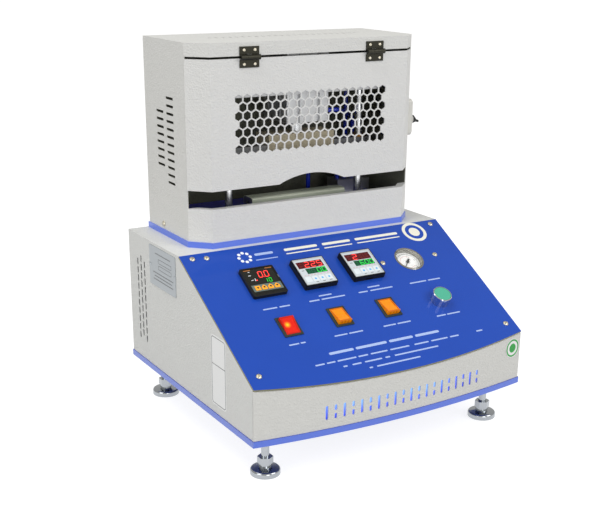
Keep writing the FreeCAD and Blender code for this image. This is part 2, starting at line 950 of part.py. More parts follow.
def timer():
    """Digital timer: a square case through the panel, with four sprung keys."""
    side = cell("instrument_side")
    lift = cell("timer_lift")
    sink = cell("window_sink")
    gap = cell("cutout_gap")
    column = cell("timer_column")
    row = cell("instrument_row")
    key_row = cell("key_row")
    zero = as_size(0)
    case = Piece("timer_case")
    case.pad("top", lift, [rounded(zero, zero, side, side, as_size(2.5))])
    case.bevel("Z", lift, 1)
    body = cell("instrument_body")
    case.pad("top", cell("instrument_depth"), [centred(zero, zero, body, body)], way=-1)
    inner = side - 6
    window = rounded(zero, zero + 7.5, inner, inner - 15, as_size(1.5))
    strip = rounded(zero, key_row, inner, 2 * cell("key_half") + 5, as_size(1))
    case.pocket("top", sink, [window, strip], lift=lift, way=-1)
    seat = lift - sink
    sockets = [outline(x, key_row, gap) for number, x, outline in timer_keys()]
    deep = cell("key_depth") + cell("key_travel") + 0.4
    case.pocket("top", deep, sockets, lift=seat, way=-1)
    keep(on_panel(case.body, column, row), "timer_case")
    for number, x, outline in timer_keys():
        key = Piece(f"timer_key_{number + 1}")
        key.pad("top", cell("key_depth") + cell("key_stand"), [outline(zero, zero, zero)])
        key.bevel("Z", cell("key_depth") + cell("key_stand"), 0.4)
        key_lift = seat - cell("key_depth")
        keep(on_panel(key.body, column + x, row + key_row, key_lift), f"timer_key_{number + 1}")


def controller(name, column):
    """Temperature controller: a black case, and a framed face with two display windows."""
    side = cell("instrument_side")
    body = cell("instrument_body")
    lift = cell("controller_lift")
    face_side = cell("face_side")
    thick = cell("face_thick")
    zero = as_size(0)
    case = Piece(name + "_case")
    case.pad("top", lift, [rounded(zero, zero, side, side, as_size(1.5))])
    case.pad("top", cell("instrument_depth"), [centred(zero, zero, body, body)], way=-1)
    notch = rectangle(-5, 5, 1.6, 3.4)
    case.pocket("front", 2.5, [notch], lift=-1 - side / 2)
    keep(on_panel(case.body, column, cell("instrument_row")), name + "_case")
    face = Piece(name + "_face")
    face.pad("top", thick, [rounded(zero, zero, face_side, face_side, as_size(1.2))])
    face.bevel("Z", thick, 0.5)
    inner = face_side - 4
    face.pocket("top", 0.4, [rounded(zero, zero, inner, inner, as_size(0.8))], lift=thick, way=-1)
    process = rectangle(-17.5, 17.5, 6.5, 17.5)
    target = rectangle(-8, 17.5, -2, 5.5)
    face.pocket("top", 0.4 + cell("display_sink"), [process, target], lift=thick, way=-1)
    keep(on_panel(face.body, column, cell("instrument_row"), lift), name + "_face")


def gauge():
    """Round pressure gauge sunk in the panel, held by a bracket plate behind it."""
    radius = cell("gauge_radius")
    inner = radius - cell("gauge_wall")
    rim = cell("gauge_rim")
    floor = -(cell("dial_sink") + cell("dial_thick"))
    arbor = cell("arbor_radius")
    disc = inner - cell("cutout_gap")
    column = cell("right_column")
    row = cell("instrument_row")
    case = Piece("gauge_case")
    case.turned([
        (0, -cell("gauge_depth")),
        (radius, -cell("gauge_depth")),
        (radius, 0),
        (radius + cell("gauge_lip"), 0),
        (radius + cell("gauge_lip"), rim / 2),
        (radius, rim),
        (inner, rim),
        (inner, floor),
        (0, floor),
    ])
    case.pocket("top", 6, circles=[(0, 0, arbor + fit)], lift=floor, way=-1)
    case.pad("top", 12, circles=[(0, 0, 5)], lift=-cell("gauge_depth"), way=-1)
    keep(on_panel(case.body, column, row), "gauge_case")
    dial = Piece("gauge_dial")
    dial.pad("top", cell("dial_thick"), circles=[(0, 0, disc), (0, 0, arbor + 0.4)], lift=floor)
    keep(on_panel(dial.body, column, row), "gauge_dial")
    lens = Piece("gauge_lens")
    lens.pad("top", cell("lens_thick"), circles=[(0, 0, disc)], lift=-cell("lens_sink"), way=-1)
    keep(on_panel(lens.body, column, row), "gauge_lens")
    needle = Piece("gauge_needle")
    pointer = [
        (cell("needle_long"), 0.15),
        (2, 0.7),
        (-2, 0.7),
        (-cell("needle_tail"), 1.7),
        (-cell("needle_tail"), -1.7),
        (-2, -0.7),
        (2, -0.7),
        (cell("needle_long"), -0.15),
    ]
    diagonal = [((across - along) / DIAGONAL, -(along + across) / DIAGONAL) for along, across in pointer]
    level = -cell("needle_sink")
    needle.pad("top", cell("needle_thick"), [diagonal], lift=level, way=-1)
    needle.pad("top", cell("needle_thick") + 0.3, circles=[(0, 0, 2.2)], lift=level + 0.3, way=-1)
    under = cell("needle_sink") + cell("needle_thick")
    needle.pad("top", 5 - floor - under, circles=[(0, 0, arbor)], lift=-under, way=-1)
    keep(on_panel(needle.body, column, row), "gauge_needle")
    bracket = Piece("gauge_bracket")
    zero = as_size(0)
    spread = cell("bracket_spread")
    plate = rounded(zero, zero, 2 * spread + 14, cell("bracket_tall"), as_size(4))
    hole = cell("screw_shank") + cell("cutout_gap")
    holes = [(0, 0, radius + cell("cutout_gap")), (-spread, 0, hole), (spread, 0, hole)]
    bracket.pad("top", cell("bracket_thick"), [plate], holes, way=-1)
    keep(on_panel(bracket.body, column, row, -cell("panel_thick")), "gauge_bracket")


def push_button():
    """Tall plated push button with a flush green cap on a sprung stem."""
    radius = cell("button_radius")
    rise = cell("button_rise")
    inner = radius - cell("button_wall")
    barrel = cell("button_barrel")
    stem = cell("button_stem")
    travel = cell("button_travel")
    under = rise - cell("cap_thick")
    floor = under - travel - 0.4
    column = cell("right_column")
    row = cell("button_row")
    bezel = Piece("push_button_bezel")
    bezel.turned([
        (0, -cell("button_depth")),
        (barrel, -cell("button_depth")),
        (barrel, 0),
        (radius, 0),
        (radius, rise - 0.5),
        (radius - 0.5, rise),
        (inner, rise),
        (inner, floor),
        (0, floor),
    ])
    bezel.pocket("top", 16, circles=[(0, 0, stem + fit)], lift=floor, way=-1)
    keep(on_panel(bezel.body, column, row), "push_button_bezel")
    cap = Piece("push_button_cap")
    edge = inner - cell("cutout_gap")
    foot = floor - 15.5 + travel
    cap.turned([
        (0, foot),
        (stem, foot),
        (stem, under),
        (edge, under),
        (edge, rise - 0.4),
        (edge - 0.4, rise),
        (0, rise),
    ])
    keep(on_panel(cap.body, column, row), "push_button_cap")


def rocker_switch(name, column, raised):
    """Rocker switch: a framed housing with a well, and a rocker on two side pivots.
    Raised is 1 when the upper end stands up at rest and -1 when the lower end does."""
    wide = cell("rocker_wide")
    long = cell("rocker_long")
    lift = cell("rocker_lift")
    half_long = cell("rocker_half")
    body_wide = cell("rocker_body_wide")
    well_wide = body_wide - 2
    pivot = cell("pivot_sink")
    pin = cell("pivot_radius")
    zero = as_size(0)
    row = cell("rocker_row")
    housing = Piece(name + "_switch")
    housing.pad("top", lift, [rounded(zero, zero, wide, long, as_size(1))])
    housing.bevel("Z", lift, 0.8)
    body = centred(zero, zero, body_wide, cell("rocker_body_long"))
    housing.pad("top", cell("rocker_depth"), [body], way=-1)
    well = centred(zero, zero, well_wide, 2 * half_long + 1.8)
    housing.pocket("top", lift + cell("rocker_well"), [well], lift=lift, way=-1)
    housing.pocket("side", well_wide + 1.4, circles=[(0, -pivot, pin + fit)], way=0)
    keep(on_panel(housing.body, column, row), name + "_switch")
    rocker = Piece(name + "_rocker")
    profile = [
        (0.5 - half_long, -2.2),
        (half_long - 0.5, -2.2),
        (half_long, 4.9),
        (0, 4.3),
        (-half_long, 4.9),
    ]
    rocker.pad("side", well_wide - 2 * cell("cutout_gap"), [profile], way=0)
    rocker.pad("side", well_wide + 1, circles=[(0, 0, pin)], way=0)
    on_panel(rocker.body, column, row, -pivot, raised * cell("rocker_tilt"))
    keep(rocker.body, name + "_rocker")


# The tower's main lines, about its own front face and the console's top.
tower_half = cell("tower_width") / 2
tower_y = corner_y + cell("tower_run")
tower_depth = cell("tower_depth")
tower_wall = cell("tower_wall")
tower_rise = cell("tower_rise")
chamfer = cell("tower_chamfer")
hinge_z = cell("hinge_rise")
hinge_y = cell("barrel_radius") + seam


def on_tower(piece, label):
    return keep(piece.place(0, tower_y, deck), label)


def tower_outline(inset):
    """The tower in plan, with its two front corners cut at 45 degrees."""
    side = tower_half - inset
    front = tower_half - chamfer - CORNER_SHIFT * inset
    cut = chamfer + CORNER_SHIFT * inset
    back = tower_depth - inset
    return [(-front, inset), (front, inset), (side, cut), (side, back), (-side, back), (-side, cut)]


def wrap_outline(thick):
    """A sheet in plan that covers the tower's front and both cut corners."""
    front = tower_half - chamfer
    inner = front - CORNER_SHIFT * thick
    end = tower_half - DIAGONAL * thick
    return [
        (-tower_half, chamfer),
        (-front, 0),
        (front, 0),
        (tower_half, chamfer),
        (end, chamfer),
        (inner, thick),
        (-inner, thick),
        (-end, chamfer),
    ]


def tower_base():
    """Blue plate under the tower, a little wider than it."""
    piece = Piece("tower_base")
    piece.pad("top", cell("band_rise"), [tower_outline(-cell("band_lip"))])
    return on_tower(piece, "tower_base")


def tower_shell():
    """Sides, back, slotted roof and the strip over the door, bent from one sheet."""
    band = cell("band_rise")
    piece = Piece("tower_shell")
    piece.pad("top", tower_rise - band, [tower_outline(as_size(0))], lift=band)
    piece.pocket("top", tower_rise - tower_wall - band + 1, [tower_outline(tower_wall)], lift=band - 1)
    x = tower_half + 1
    mouth = rectangle(-x, x, band - 1, hinge_z + cell("slit_half"))
    piece.pocket("front", chamfer + seam + 1, [mouth], lift=-1)
    long = cell("side_slot_long")
    wide = cell("side_slot_wide")
    for name in ("short", "tall"):
        slot = level_slot(cell(name + "_column_run"), cell(name + "_column_low"), long, wide)
        cut = piece.pocket("side", tower_wall + 2, [slot], lift=-x)
        piece.repeat(cut, "V_Axis", cell(name + "_column_count"), cell("side_slot_pitch"))
    screw = (cell("side_screw_run"), cell("side_screw_rise"), cell("screw_shank") + cell("cutout_gap"))
    piece.pocket("side", tower_wall + 2, circles=[screw], lift=-x)
    pitch = cell("roof_slot_pitch")
    count = cell("roof_slot_count")
    start = (1 - count) * pitch / 2
    slot = upright_slot(start, tower_depth / 2, cell("roof_slot_wide"), cell("roof_slot_long"))
    cut = piece.pocket("top", tower_wall + 2, [slot], lift=tower_rise + 1, way=-1)
    piece.repeat(cut, "H_Axis", count, pitch)
    return on_tower(piece, "tower_shell")


def tower_apron():
    """Fixed sheet below the sample slot, with its top edge folded inwards."""
    band = cell("band_rise")
    sill = cell("sill_rise")
    piece = Piece("tower_apron")
    piece.pad("top", sill - band, [wrap_outline(tower_wall)], lift=band)
    piece.pad("top", tower_wall, [wrap_outline(cell("sill_flange"))], lift=sill, way=-1)
    return on_tower(piece, "tower_apron")


def guard_door():
    """Bent guard with seven rows of hexagonal holes and an arch in its lower edge."""
    low = cell("door_low")
    top = hinge_z - cell("slit_half")
    arch = cell("arch_half")
    piece = Piece("guard_door")
    piece.pad("top", top - low, [wrap_outline(tower_wall)], lift=low)
    cut = [(-arch, low - 1), (arch, low - 1), (arch, low), (-arch, low, cell("arch_rise"))]
    piece.pocket("front", tower_wall + 2, [cut], lift=-1)
    pitch = cell("hole_pitch")
    row = pitch * math.sqrt(3) / 2
    columns = cell("hole_columns")
    rows = cell("hole_rows")
    first_x = (1 - columns) * pitch / 2
    first_z = cell("grille_rise") - (rows - 1) * row / 2
    for step in (0, 1):
        x = first_x + step * pitch / 2
        levels = range(step, int(rows.number), 2)
        holes = [hexagon(x, first_z + level * row, cell("hole_flats")) for level in levels]
        cut = piece.pocket("front", tower_wall + 2, holes, lift=-1)
        piece.repeat(cut, "H_Axis", columns - step, pitch)
    return on_tower(piece, "guard_door")


def hinge_leaf(name, way, knuckles):
    """One leaf of a butt hinge, about its pin. Way is 1 for the upper leaf."""
    wide = cell("leaf_wide")
    thick = cell("leaf_thick")
    barrel = cell("barrel_radius")
    clear = barrel + seam
    hole = cell("hinge_screw_shank") + fit
    piece = Piece(name)
    y = hinge_y - thick
    spread = cell("hinge_screw_spread")
    rise = way * cell("hinge_screw_rise")
    edges = sorted((way * clear, way * cell("leaf_tall")), key=lambda size: size.number)
    plate = rectangle(-wide / 2, wide / 2, *edges)
    piece.pad("front", thick, [plate], [(-spread, rise, hole), (spread, rise, hole)], lift=y)
    tab_edges = sorted((as_size(0), way * clear), key=lambda size: size.number)
    tab = rectangle(y, hinge_y, *tab_edges)
    for x in knuckles:
        long = wide / 3 - 0.15
        circles = [(0, 0, barrel), (0, 0, cell("pin_radius") + fit)]
        piece.pad("side", long, circles=circles, lift=x * wide / 3 - long / 2)
        piece.pad("side", long, [tab], lift=x * wide / 3 - long / 2)
    return piece.body


def hinges():
    """Two butt hinges over the door: leaves, pins and slotted screws."""
    leaves = {1: [], -1: []}
    screws = {1: [], -1: []}
    pins = []
    y = tower_y - hinge_y
    for side in (-1, 1):
        x = side * cell("hinge_spread")
        for way, knuckles in ((1, (-1, 1)), (-1, (0,))):
            leaf = hinge_leaf(f"leaf_{side + 1}_{way + 1}", way, knuckles)
            put(leaf, x, y, deck + hinge_z)
            leaves[way].append(leaf)
            for hand in (-1, 1):
                name = f"hinge_screw_{side + 1}_{way + 1}_{hand + 1}"
                shank = cell("hinge_screw_shank")
                screw = pan_screw(name, cell("hinge_screw_head"), shank, cell("leaf_thick"))
                across = x + hand * cell("hinge_screw_spread")
                up = deck + hinge_z + way * cell("hinge_screw_rise")
                put(screw, across, tower_y - cell("leaf_thick"), up, 90)
                screws[way].append(screw)
        pin = Piece(f"hinge_pin_{side + 1}")
        pin.pad("side", cell("leaf_wide"), circles=[(0, 0, cell("pin_radius"))], way=0)
        pins.append(pin.place(x, y, deck + hinge_z))
    group("hinge_fixed_leaves", leaves[1])
    group("hinge_door_leaves", leaves[-1])
    group("hinge_pins", pins)
    group("hinge_screws", screws[1])
    group("door_screws", screws[-1])


# The press, about the line through its two guide rods.
press_y = cell("press_run")
base_rise = cell("press_base_rise")
beam_low = cell("upper_jaw_low") + cell("upper_jaw_tall")
beam_top = beam_low + cell("beam_tall")
block_top = beam_top + cell("block_cap")
head_top = cell("head_low") + cell("head_thick")
barrel_top = head_top + cell("barrel_rise")
lower_jaw_low = base_rise + cell("jaw_foot")
lower_jaw_top = lower_jaw_low + cell("lower_jaw_tall")


def on_press(piece, label, x=0):
    return keep(piece.place(x, tower_y + press_y, deck), label)


def press_base():
    """Folded channel that carries the rods and the lower jaw."""
    width = cell("press_base_width")
    thick = cell("press_base_wall")
    y0 = -cell("press_base_front")
    y1 = cell("press_base_back")
    low = cell("band_rise")
    piece = Piece("press_base")
    piece.pad("side", width, [rectangle(y0, y1, low, base_rise)], way=0)
    under = rectangle(y0 + thick, y1 - thick, low - 1, base_rise - thick)
    piece.pocket("side", width + 2, [under], way=0)
    return on_press(piece, "press_base")


def guide_rods():
    """Two shouldered rods with a foot each, and the nuts that clamp the head to them."""
    foot = cell("rod_foot_radius")
    radius = cell("rod_radius")
    stud = cell("rod_stud_radius")
    foot_top = base_rise + cell("rod_foot_thick")
    nut_top = head_top + cell("rod_nut_thick")
    members = []
    for side in (-1, 1):
        rod = Piece(f"guide_rod_{side + 1}")
        rod.turned([
            (0, base_rise),
            (foot, base_rise),
            (foot, foot_top),
            (radius, foot_top),
            (radius, cell("head_low")),
            (stud, cell("head_low")),
            (stud, nut_top + 2),
            (0, nut_top + 2),
        ])
        x = side * cell("rod_spread")
        members.append(rod.place(x, tower_y + press_y, deck))
        nut = Piece(f"rod_nut_{side + 1}")
        outline = hexagon(as_size(0), as_size(0), cell("rod_nut_flats"))
        nut.pad("top", cell("rod_nut_thick"), [outline], [(0, 0, stud + fit)], lift=head_top)
        members.append(nut.place(x, tower_y + press_y, deck))
    return group("guide_rods", members)


def press_head():
    """Plate across the rods that carries the air cylinder."""
    zero = as_size(0)
    x = cell("rod_spread")
    stud = cell("rod_stud_radius") + fit
    circles = [(-x, 0, stud), (x, 0, stud), (0, 0, cell("neck_radius") + seam)]
    outline = rounded(zero, zero, cell("head_width"), cell("head_deep"), as_size(6))
    piece = Piece("press_head")
    piece.pad("top", cell("head_thick"), [outline], circles, lift=cell("head_low"))
    return on_press(piece, "press_head")


def air_cylinder():
    """Square grooved cylinder whose neck passes through the head, bored for its piston."""
    side = cell("cylinder_side")
    low = cell("cylinder_low")
    zero = as_size(0)
    outline = rounded(zero, zero, side, side, as_size(3))
    piece = Piece("air_cylinder")
    piece.pad("top", cell("head_low") - low, [outline], lift=low)
    piece.pad("top", cell("head_thick"), circles=[(0, 0, cell("neck_radius"))], lift=cell("head_low"))
    piece.pad("top", cell("barrel_rise"), [outline], lift=head_top)
    edge = side / 2 - cell("groove_deep") / 2 + 0.5
    deep = cell("groove_deep") + 1
    wide = cell("groove_wide")
    grooves = []
    for along in (-1, 1):
        offset = along * cell("groove_spread")
        for face in (-1, 1):
            grooves.append(centred(offset, face * edge, wide, deep))
            grooves.append(centred(face * edge, offset, deep, wide))
    piece.pocket("top", barrel_top - low + 2, grooves, lift=low - 1)
    guide = cell("piston_rod_radius") + fit
    piece.pocket("top", cell("cylinder_base") + 2, circles=[(0, 0, guide)], lift=low - 1)
    chamber = low + cell("cylinder_base")
    height = barrel_top - cell("barrel_cap") - chamber
    piece.pocket("top", height, circles=[(0, 0, cell("bore_radius"))], lift=chamber)
    return on_press(piece, "air_cylinder")


def air_fittings():
    """Two brass fittings on the cylinder's right face."""
    members = []
    ports = (cell("cylinder_low") + cell("low_port_rise"), head_top + cell("high_port_rise"))
    for number, rise in enumerate(ports):
        piece = Piece(f"air_fitting_{number}")
        long = cell("fitting_long")
        neck = cell("tube_radius") + 1.4
        piece.turned([(0, 0), (neck + 1, 0), (neck + 1, 5), (neck, 5), (neck, long), (0, long)])
        y = tower_y + press_y
        members.append(piece.place(cell("cylinder_side") / 2, y, deck + rise, 90, (0, 1, 0)))
    return group("air_fittings", members)


def round_path(points, radius):
    """Straight runs joined by tangent arcs of one radius."""
    edges = []
    tail = points[0]
    for before, corner, after in zip(points, points[1:], points[2:]):
        inward = (before - corner).normalize()
        outward = (after - corner).normalize()
        half_turn = (math.pi - inward.getAngle(outward)) / 2
        reach = radius * math.tan(half_turn)
        start = corner + inward * reach
        end = corner + outward * reach
        bisector = (inward + outward).normalize()
        middle = corner + bisector * (radius / math.cos(half_turn) - radius)
        edges.append(Part.LineSegment(tail, start).toShape())
        edges.append(Part.Arc(start, middle, end).toShape())
        tail = end
    edges.append(Part.LineSegment(tail, points[-1]).toShape())
    return Part.Wire(edges)


def air_tubes():
    """Blue tubes: two from the cylinder's ports to the valve, and the supply behind them."""
    left = (cell("cylinder_side") / 2 + cell("fitting_long")).number
    near = (tower_y + press_y).number
    far = (tower_y + cell("tube_run")).number
    floor = deck.number
    valve_top = floor + (base_rise + cell("valve_tall")).number
    first = cell("tube_first").number
    pitch = cell("tube_pitch").number
    low = floor + (cell("cylinder_low") + cell("low_port_rise")).number
    high = floor + (head_top + cell("high_port_rise")).number
    loop = valve_top + 52
    supply = cell("supply_column").number
    inlet_top = floor + base_rise.number
    second = first + pitch
    third = second + pitch
    routes = [
        [(left, near, high), (second, near, high), (second, far, high), (second, far, valve_top)],
        [(left, near, low), (left + 22, near, low), (third, far, low - 20), (third, far, valve_top)],
        [(supply, far, inlet_top), (supply, far, loop), (first, far, loop), (first, far, valve_top)],
    ]
    bends = (16, 12, 20)
    radius = cell("tube_radius").number
    solids = []
    for route, bend in zip(routes, bends):
        points = [FreeCAD.Vector(*point) for point in route]
        path = round_path(points, bend)
        start = (points[1] - points[0]).normalize()
        ring = Part.Wire(Part.makeCircle(radius, points[0], start))
        solids.append(path.makePipeShell([ring], True, True))
    tubes = doc.addObject("Part::Feature", "air_tubes")
    tubes.Shape = Part.makeCompound(solids)
    return keep(tubes, "air_tubes")


def solenoid_valve():
    """Valve block on the press base, with its coil at the right end."""
    long = cell("valve_long")
    deep = cell("valve_deep")
    x0 = cell("valve_left")
    y0 = cell("tube_run") - press_y - deep / 2
    piece = Piece("solenoid_valve")
    body = rectangle(x0, x0 + long, y0, y0 + deep)
    piece.pad("top", cell("valve_tall"), [body], lift=base_rise)
    coil = rectangle(x0 + long - 10, x0 + long + 12, y0 + 3, y0 + deep - 3)
    piece.pad("top", cell("valve_tall") - 4, [coil], lift=base_rise + 2)
    return on_press(piece, "solenoid_valve")


def piston_rod():
    """Piston, rod and the stud that couples them to the crosshead."""
    radius = cell("piston_rod_radius")
    stud = cell("piston_stud_radius")
    piston = cell("bore_radius") - fit
    top = barrel_top - cell("barrel_cap") - 0.5
    under = top - cell("piston_thick")
    piece = Piece("piston_rod")
    piece.turned([
        (0, beam_low + 1),
        (stud, beam_low + 1),
        (stud, block_top),
        (radius, block_top),
        (radius, under),
        (piston, under),
        (piston, top),
        (0, top),
    ])
    return on_press(piece, "piston_rod")


def crosshead():
    """Beam that slides on the rods and carries the upper jaw."""
    zero = as_size(0)
    x = cell("rod_spread")
    bush = cell("bush_radius") + fit
    circles = [(-x, 0, bush), (x, 0, bush), (0, 0, cell("piston_stud_radius") + fit)]
    outline = rounded(zero, zero, cell("beam_width"), cell("beam_deep"), as_size(3))
    piece = Piece("crosshead")
    piece.pad("top", cell("beam_tall"), [outline], circles, lift=beam_low)
    return on_press(piece, "crosshead")


def guide_bushes():
    """Flanged bronze bushes that run on the rods."""
    bore = cell("rod_radius") + fit
    outer = cell("bush_radius")
    flange = outer + cell("bush_flange")
    top = beam_top + cell("bush_flange_thick")
    members = []
    for side in (-1, 1):
        piece = Piece(f"guide_bush_{side + 1}")
        piece.turned([
            (bore, beam_low),
            (outer, beam_low),
            (outer, beam_top),
            (flange, beam_top),
            (flange, top),
            (bore, top),
        ])
        members.append(piece.place(side * cell("rod_spread"), tower_y + press_y, deck))
    return group("guide_bushes", members)


def insulating_block():
    """Tan heat-break block that straddles the crosshead under the piston rod."""
    inner = cell("beam_deep") / 2
    outer = inner + cell("block_wall")
    skirt = beam_low + cell("block_skirt")
    piece = Piece("insulating_block")
    piece.pad("side", cell("block_long"), [rectangle(-outer, outer, skirt, block_top)], way=0)
    channel = rectangle(-inner, inner, skirt - 1, beam_top)
    piece.pocket("side", cell("block_long") + 2, [channel], way=0)
    hole = (0, 0, cell("piston_stud_radius") + fit)
    piece.pocket("top", cell("block_cap") + 2, circles=[hole], lift=block_top + 1, way=-1)
    return on_press(piece, "insulating_block")


def heater_bores(piece, z):
    """A blind bore in each end of a jaw for its cartridge heater."""
    end = cell("jaw_long") / 2
    hole = (0, z, cell("heater_radius"))
    piece.pocket("side", cell("heater_deep"), circles=[hole], lift=end, way=-1)
    piece.pocket("side", cell("heater_deep"), circles=[hole], lift=-end)


def upper_jaw():
    """Heated bar under the crosshead, with its sealing edges broken."""
    low = cell("upper_jaw_low")
    y = cell("jaw_deep") / 2
    edge = cell("jaw_round") / 2
    outline = [
        (-y, low + edge), (edge - y, low), (y - edge, low),
        (y, low + edge), (y, beam_low), (-y, beam_low),
    ]
    piece = Piece("upper_jaw")
    piece.pad("side", cell("jaw_long"), [outline], way=0)
    heater_bores(piece, low + cell("upper_jaw_tall") / 2)
    return on_press(piece, "upper_jaw")


def lower_jaw():
    """Heated bar on two short feet, with its upper edges rounded for the cloth."""
    y = cell("jaw_deep") / 2
    edge = cell("jaw_round")
    bulge = edge * ROUND_BULGE
    top = lower_jaw_top
    outline = [
        (-y, lower_jaw_low), (y, lower_jaw_low), (y, top - edge),
        (y - edge, top, bulge), (edge - y, top), (-y, top - edge, bulge),
    ]
    piece = Piece("lower_jaw")
    piece.pad("side", cell("jaw_long"), [outline], way=0)
    foot = cell("jaw_foot_long")
    end = cell("jaw_long") / 2 - 5
    feet = [
        rectangle(-end, foot - end, base_rise, lower_jaw_low),
        rectangle(end - foot, end, base_rise, lower_jaw_low),
    ]
    piece.pad("front", cell("jaw_deep"), feet, way=0)
    heater_bores(piece, lower_jaw_low + cell("lower_jaw_tall") / 2)
    return on_press(piece, "lower_jaw")


def jaw_cloth():
    """Woven non-stick cloth folded over the lower jaw."""
    gap = cell("cloth_gap")
    inner_y = cell("jaw_deep") / 2 + gap
    inner_z = lower_jaw_top + gap
    inner_edge = cell("jaw_round") + gap
    thick = cell("cloth_thick")
    y = inner_y + thick
    z = inner_z + thick
    edge = inner_edge + thick
    low = lower_jaw_low + 1
    outline = [
        (inner_y, low),
        (y, low),
        (y, z - edge),
        (y - edge, z, edge * ROUND_BULGE),
        (edge - y, z),
        (-y, z - edge, edge * ROUND_BULGE),
        (-y, low),
        (-inner_y, low),
        (-inner_y, inner_z - inner_edge),
        (inner_edge - inner_y, inner_z, -(inner_edge * ROUND_BULGE)),
        (inner_y - inner_edge, inner_z),
        (inner_y, inner_z - inner_edge, -(inner_edge * ROUND_BULGE)),
    ]
    piece = Piece("jaw_cloth")
    piece.pad("side", cell("jaw_long"), [outline], way=0)
    return on_press(piece, "jaw_cloth")


def switch_box():
    """Small bevelled box on the tower's right side, with the toggle's ring on its face."""
    reach = cell("box_reach")
    zero = as_size(0)
    piece = Piece("switch_box")
    outline = rounded(zero, zero, cell("box_deep"), cell("box_tall"), cell("box_round"))
    piece.pad("side", reach, [outline])
    piece.bevel("X", reach, cell("box_bevel"))
    y = cell("toggle_run") - cell("box_run")
    z = cell("toggle_rise") - cell("box_rise")
    piece.pad("side", cell("toggle_ring_thick"), circles=[(y, z, cell("toggle_ring"))], lift=reach)
    place = (tower_half, tower_y + cell("box_run"), deck + cell("box_rise"))
    return keep(piece.place(*place), "switch_box")


def toggle_lever():
    """Rubber-booted toggle lever that leans down at rest."""
    radius = cell("lever_radius")
    long = cell("lever_long")
    boot = cell("boot_radius")
    tip = radius * 2 / 3
    piece = Piece("toggle_lever")
    piece.turned([
        (0, -0.6),
        (2, -0.6),
        (boot, 1.1),
        (radius, cell("boot_long")),
        (radius, long - tip),
        (radius - tip, long, tip * ROUND_BULGE),
        (0, long),
    ])
    out = cell("box_reach") + cell("toggle_ring_thick") + cell("toggle_pivot")
    place = (tower_half + out, tower_y + cell("toggle_run"), deck + cell("toggle_rise"))
    return keep(piece.place(*place, 90 + cell("toggle_tilt"), (0, 1, 0)), "toggle_lever")


base_plate()
FOOT_NAMES = ("front_left_foot", "front_right_foot", "back_left_foot", "back_right_foot")
for foot_name, (foot_x, foot_y) in zip(FOOT_NAMES, foot_places()):
    levelling_foot(foot_name, foot_x, foot_y)
console_shell()
front_apron()
light_panel()
control_panel()
panel_screws()
rating_plate()
mains_inlet()
air_inlet()
timer()
controller("upper_controller", cell("upper_column"))
controller("lower_controller", cell("lower_column"))
gauge()
push_button()
rocker_switch("mains", cell("timer_column"), 1)
rocker_switch("upper_heater", cell("upper_column"), -1)
rocker_switch("lower_heater", cell("lower_column"), -1)
tower_base()
tower_shell()
tower_apron()
guard_door()
hinges()
press_base()
guide_rods()
press_head()
air_cylinder()
air_fittings()
air_tubes()
solenoid_valve()
piston_rod()
crosshead()
guide_bushes()
insulating_block()
upper_jaw()
lower_jaw()
jaw_cloth()
switch_box()
toggle_lever()

doc.recompute()
for thing in doc.Objects:
    if "Invalid" in thing.State or "Error" in thing.State:
        raise RuntimeError(f"{thing.Label} was not made: {thing.State}")
for node in NODES:
    shape = node.Shape
    if shape.isNull() or not shape.isValid():
        raise RuntimeError(f"{node.Label} has no valid shape")
for node in NODES:
    node.Shape.exportStep(f"parts/{node.Label}.step")
print(len(NODES), "nodes")
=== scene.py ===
import math

import bpy
from mathutils import Matrix, Vector


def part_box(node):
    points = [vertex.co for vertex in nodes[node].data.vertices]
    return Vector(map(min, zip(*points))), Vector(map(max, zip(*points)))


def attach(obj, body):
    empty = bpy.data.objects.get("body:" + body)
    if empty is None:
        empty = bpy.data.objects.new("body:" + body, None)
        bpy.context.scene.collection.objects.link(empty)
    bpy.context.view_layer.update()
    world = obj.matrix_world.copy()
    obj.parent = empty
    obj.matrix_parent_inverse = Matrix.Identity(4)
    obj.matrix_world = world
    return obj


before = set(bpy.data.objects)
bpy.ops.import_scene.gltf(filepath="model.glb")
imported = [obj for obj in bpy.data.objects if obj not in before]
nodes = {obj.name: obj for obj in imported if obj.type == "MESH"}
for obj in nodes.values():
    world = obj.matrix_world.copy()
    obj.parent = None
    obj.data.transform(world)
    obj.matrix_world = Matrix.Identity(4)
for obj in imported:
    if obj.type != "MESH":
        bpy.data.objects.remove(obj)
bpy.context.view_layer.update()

# Looks of a bench heat-seal tester. Lengths are written in millimetres and turned to metres
# by MM. X runs to the operator's right, Y to the back and Z up.
MM = 0.001

# The console's lines, as the solids have them.
HALF_WIDTH = 200
CONSOLE_DEPTH = 350
APRON_RISE = 65
PANEL_RUN = 190
CONSOLE_RISE = 174
FRONT_BOW = 16.5
SLOPE = math.atan2(CONSOLE_RISE - APRON_RISE, PANEL_RUN)
CORNER_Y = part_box("console_shell")[1].y / MM - CONSOLE_DEPTH
BASE_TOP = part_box("base_plate")[1].z / MM
BOW_RADIUS = (HALF_WIDTH ** 2 + FRONT_BOW ** 2) / (2 * FRONT_BOW)

# Where the instruments stand on the panel: columns from its middle, rows up its slope.
TIMER_COLUMN = -113
UPPER_COLUMN = -39.5
LOWER_COLUMN = 34
RIGHT_COLUMN = 113
INSTRUMENT_ROW = 153.8
ROCKER_ROW = 79

# How far faces stand out from the panel's own face. The dial lies below it.
TIMER_WINDOW = 5.2
TIMER_BEZEL = 6.01
TIMER_KEY = 6.21
CONTROLLER_FRONT = 8.0
DIAL = -6.19
PRINT = 0.02


# Placing and joining


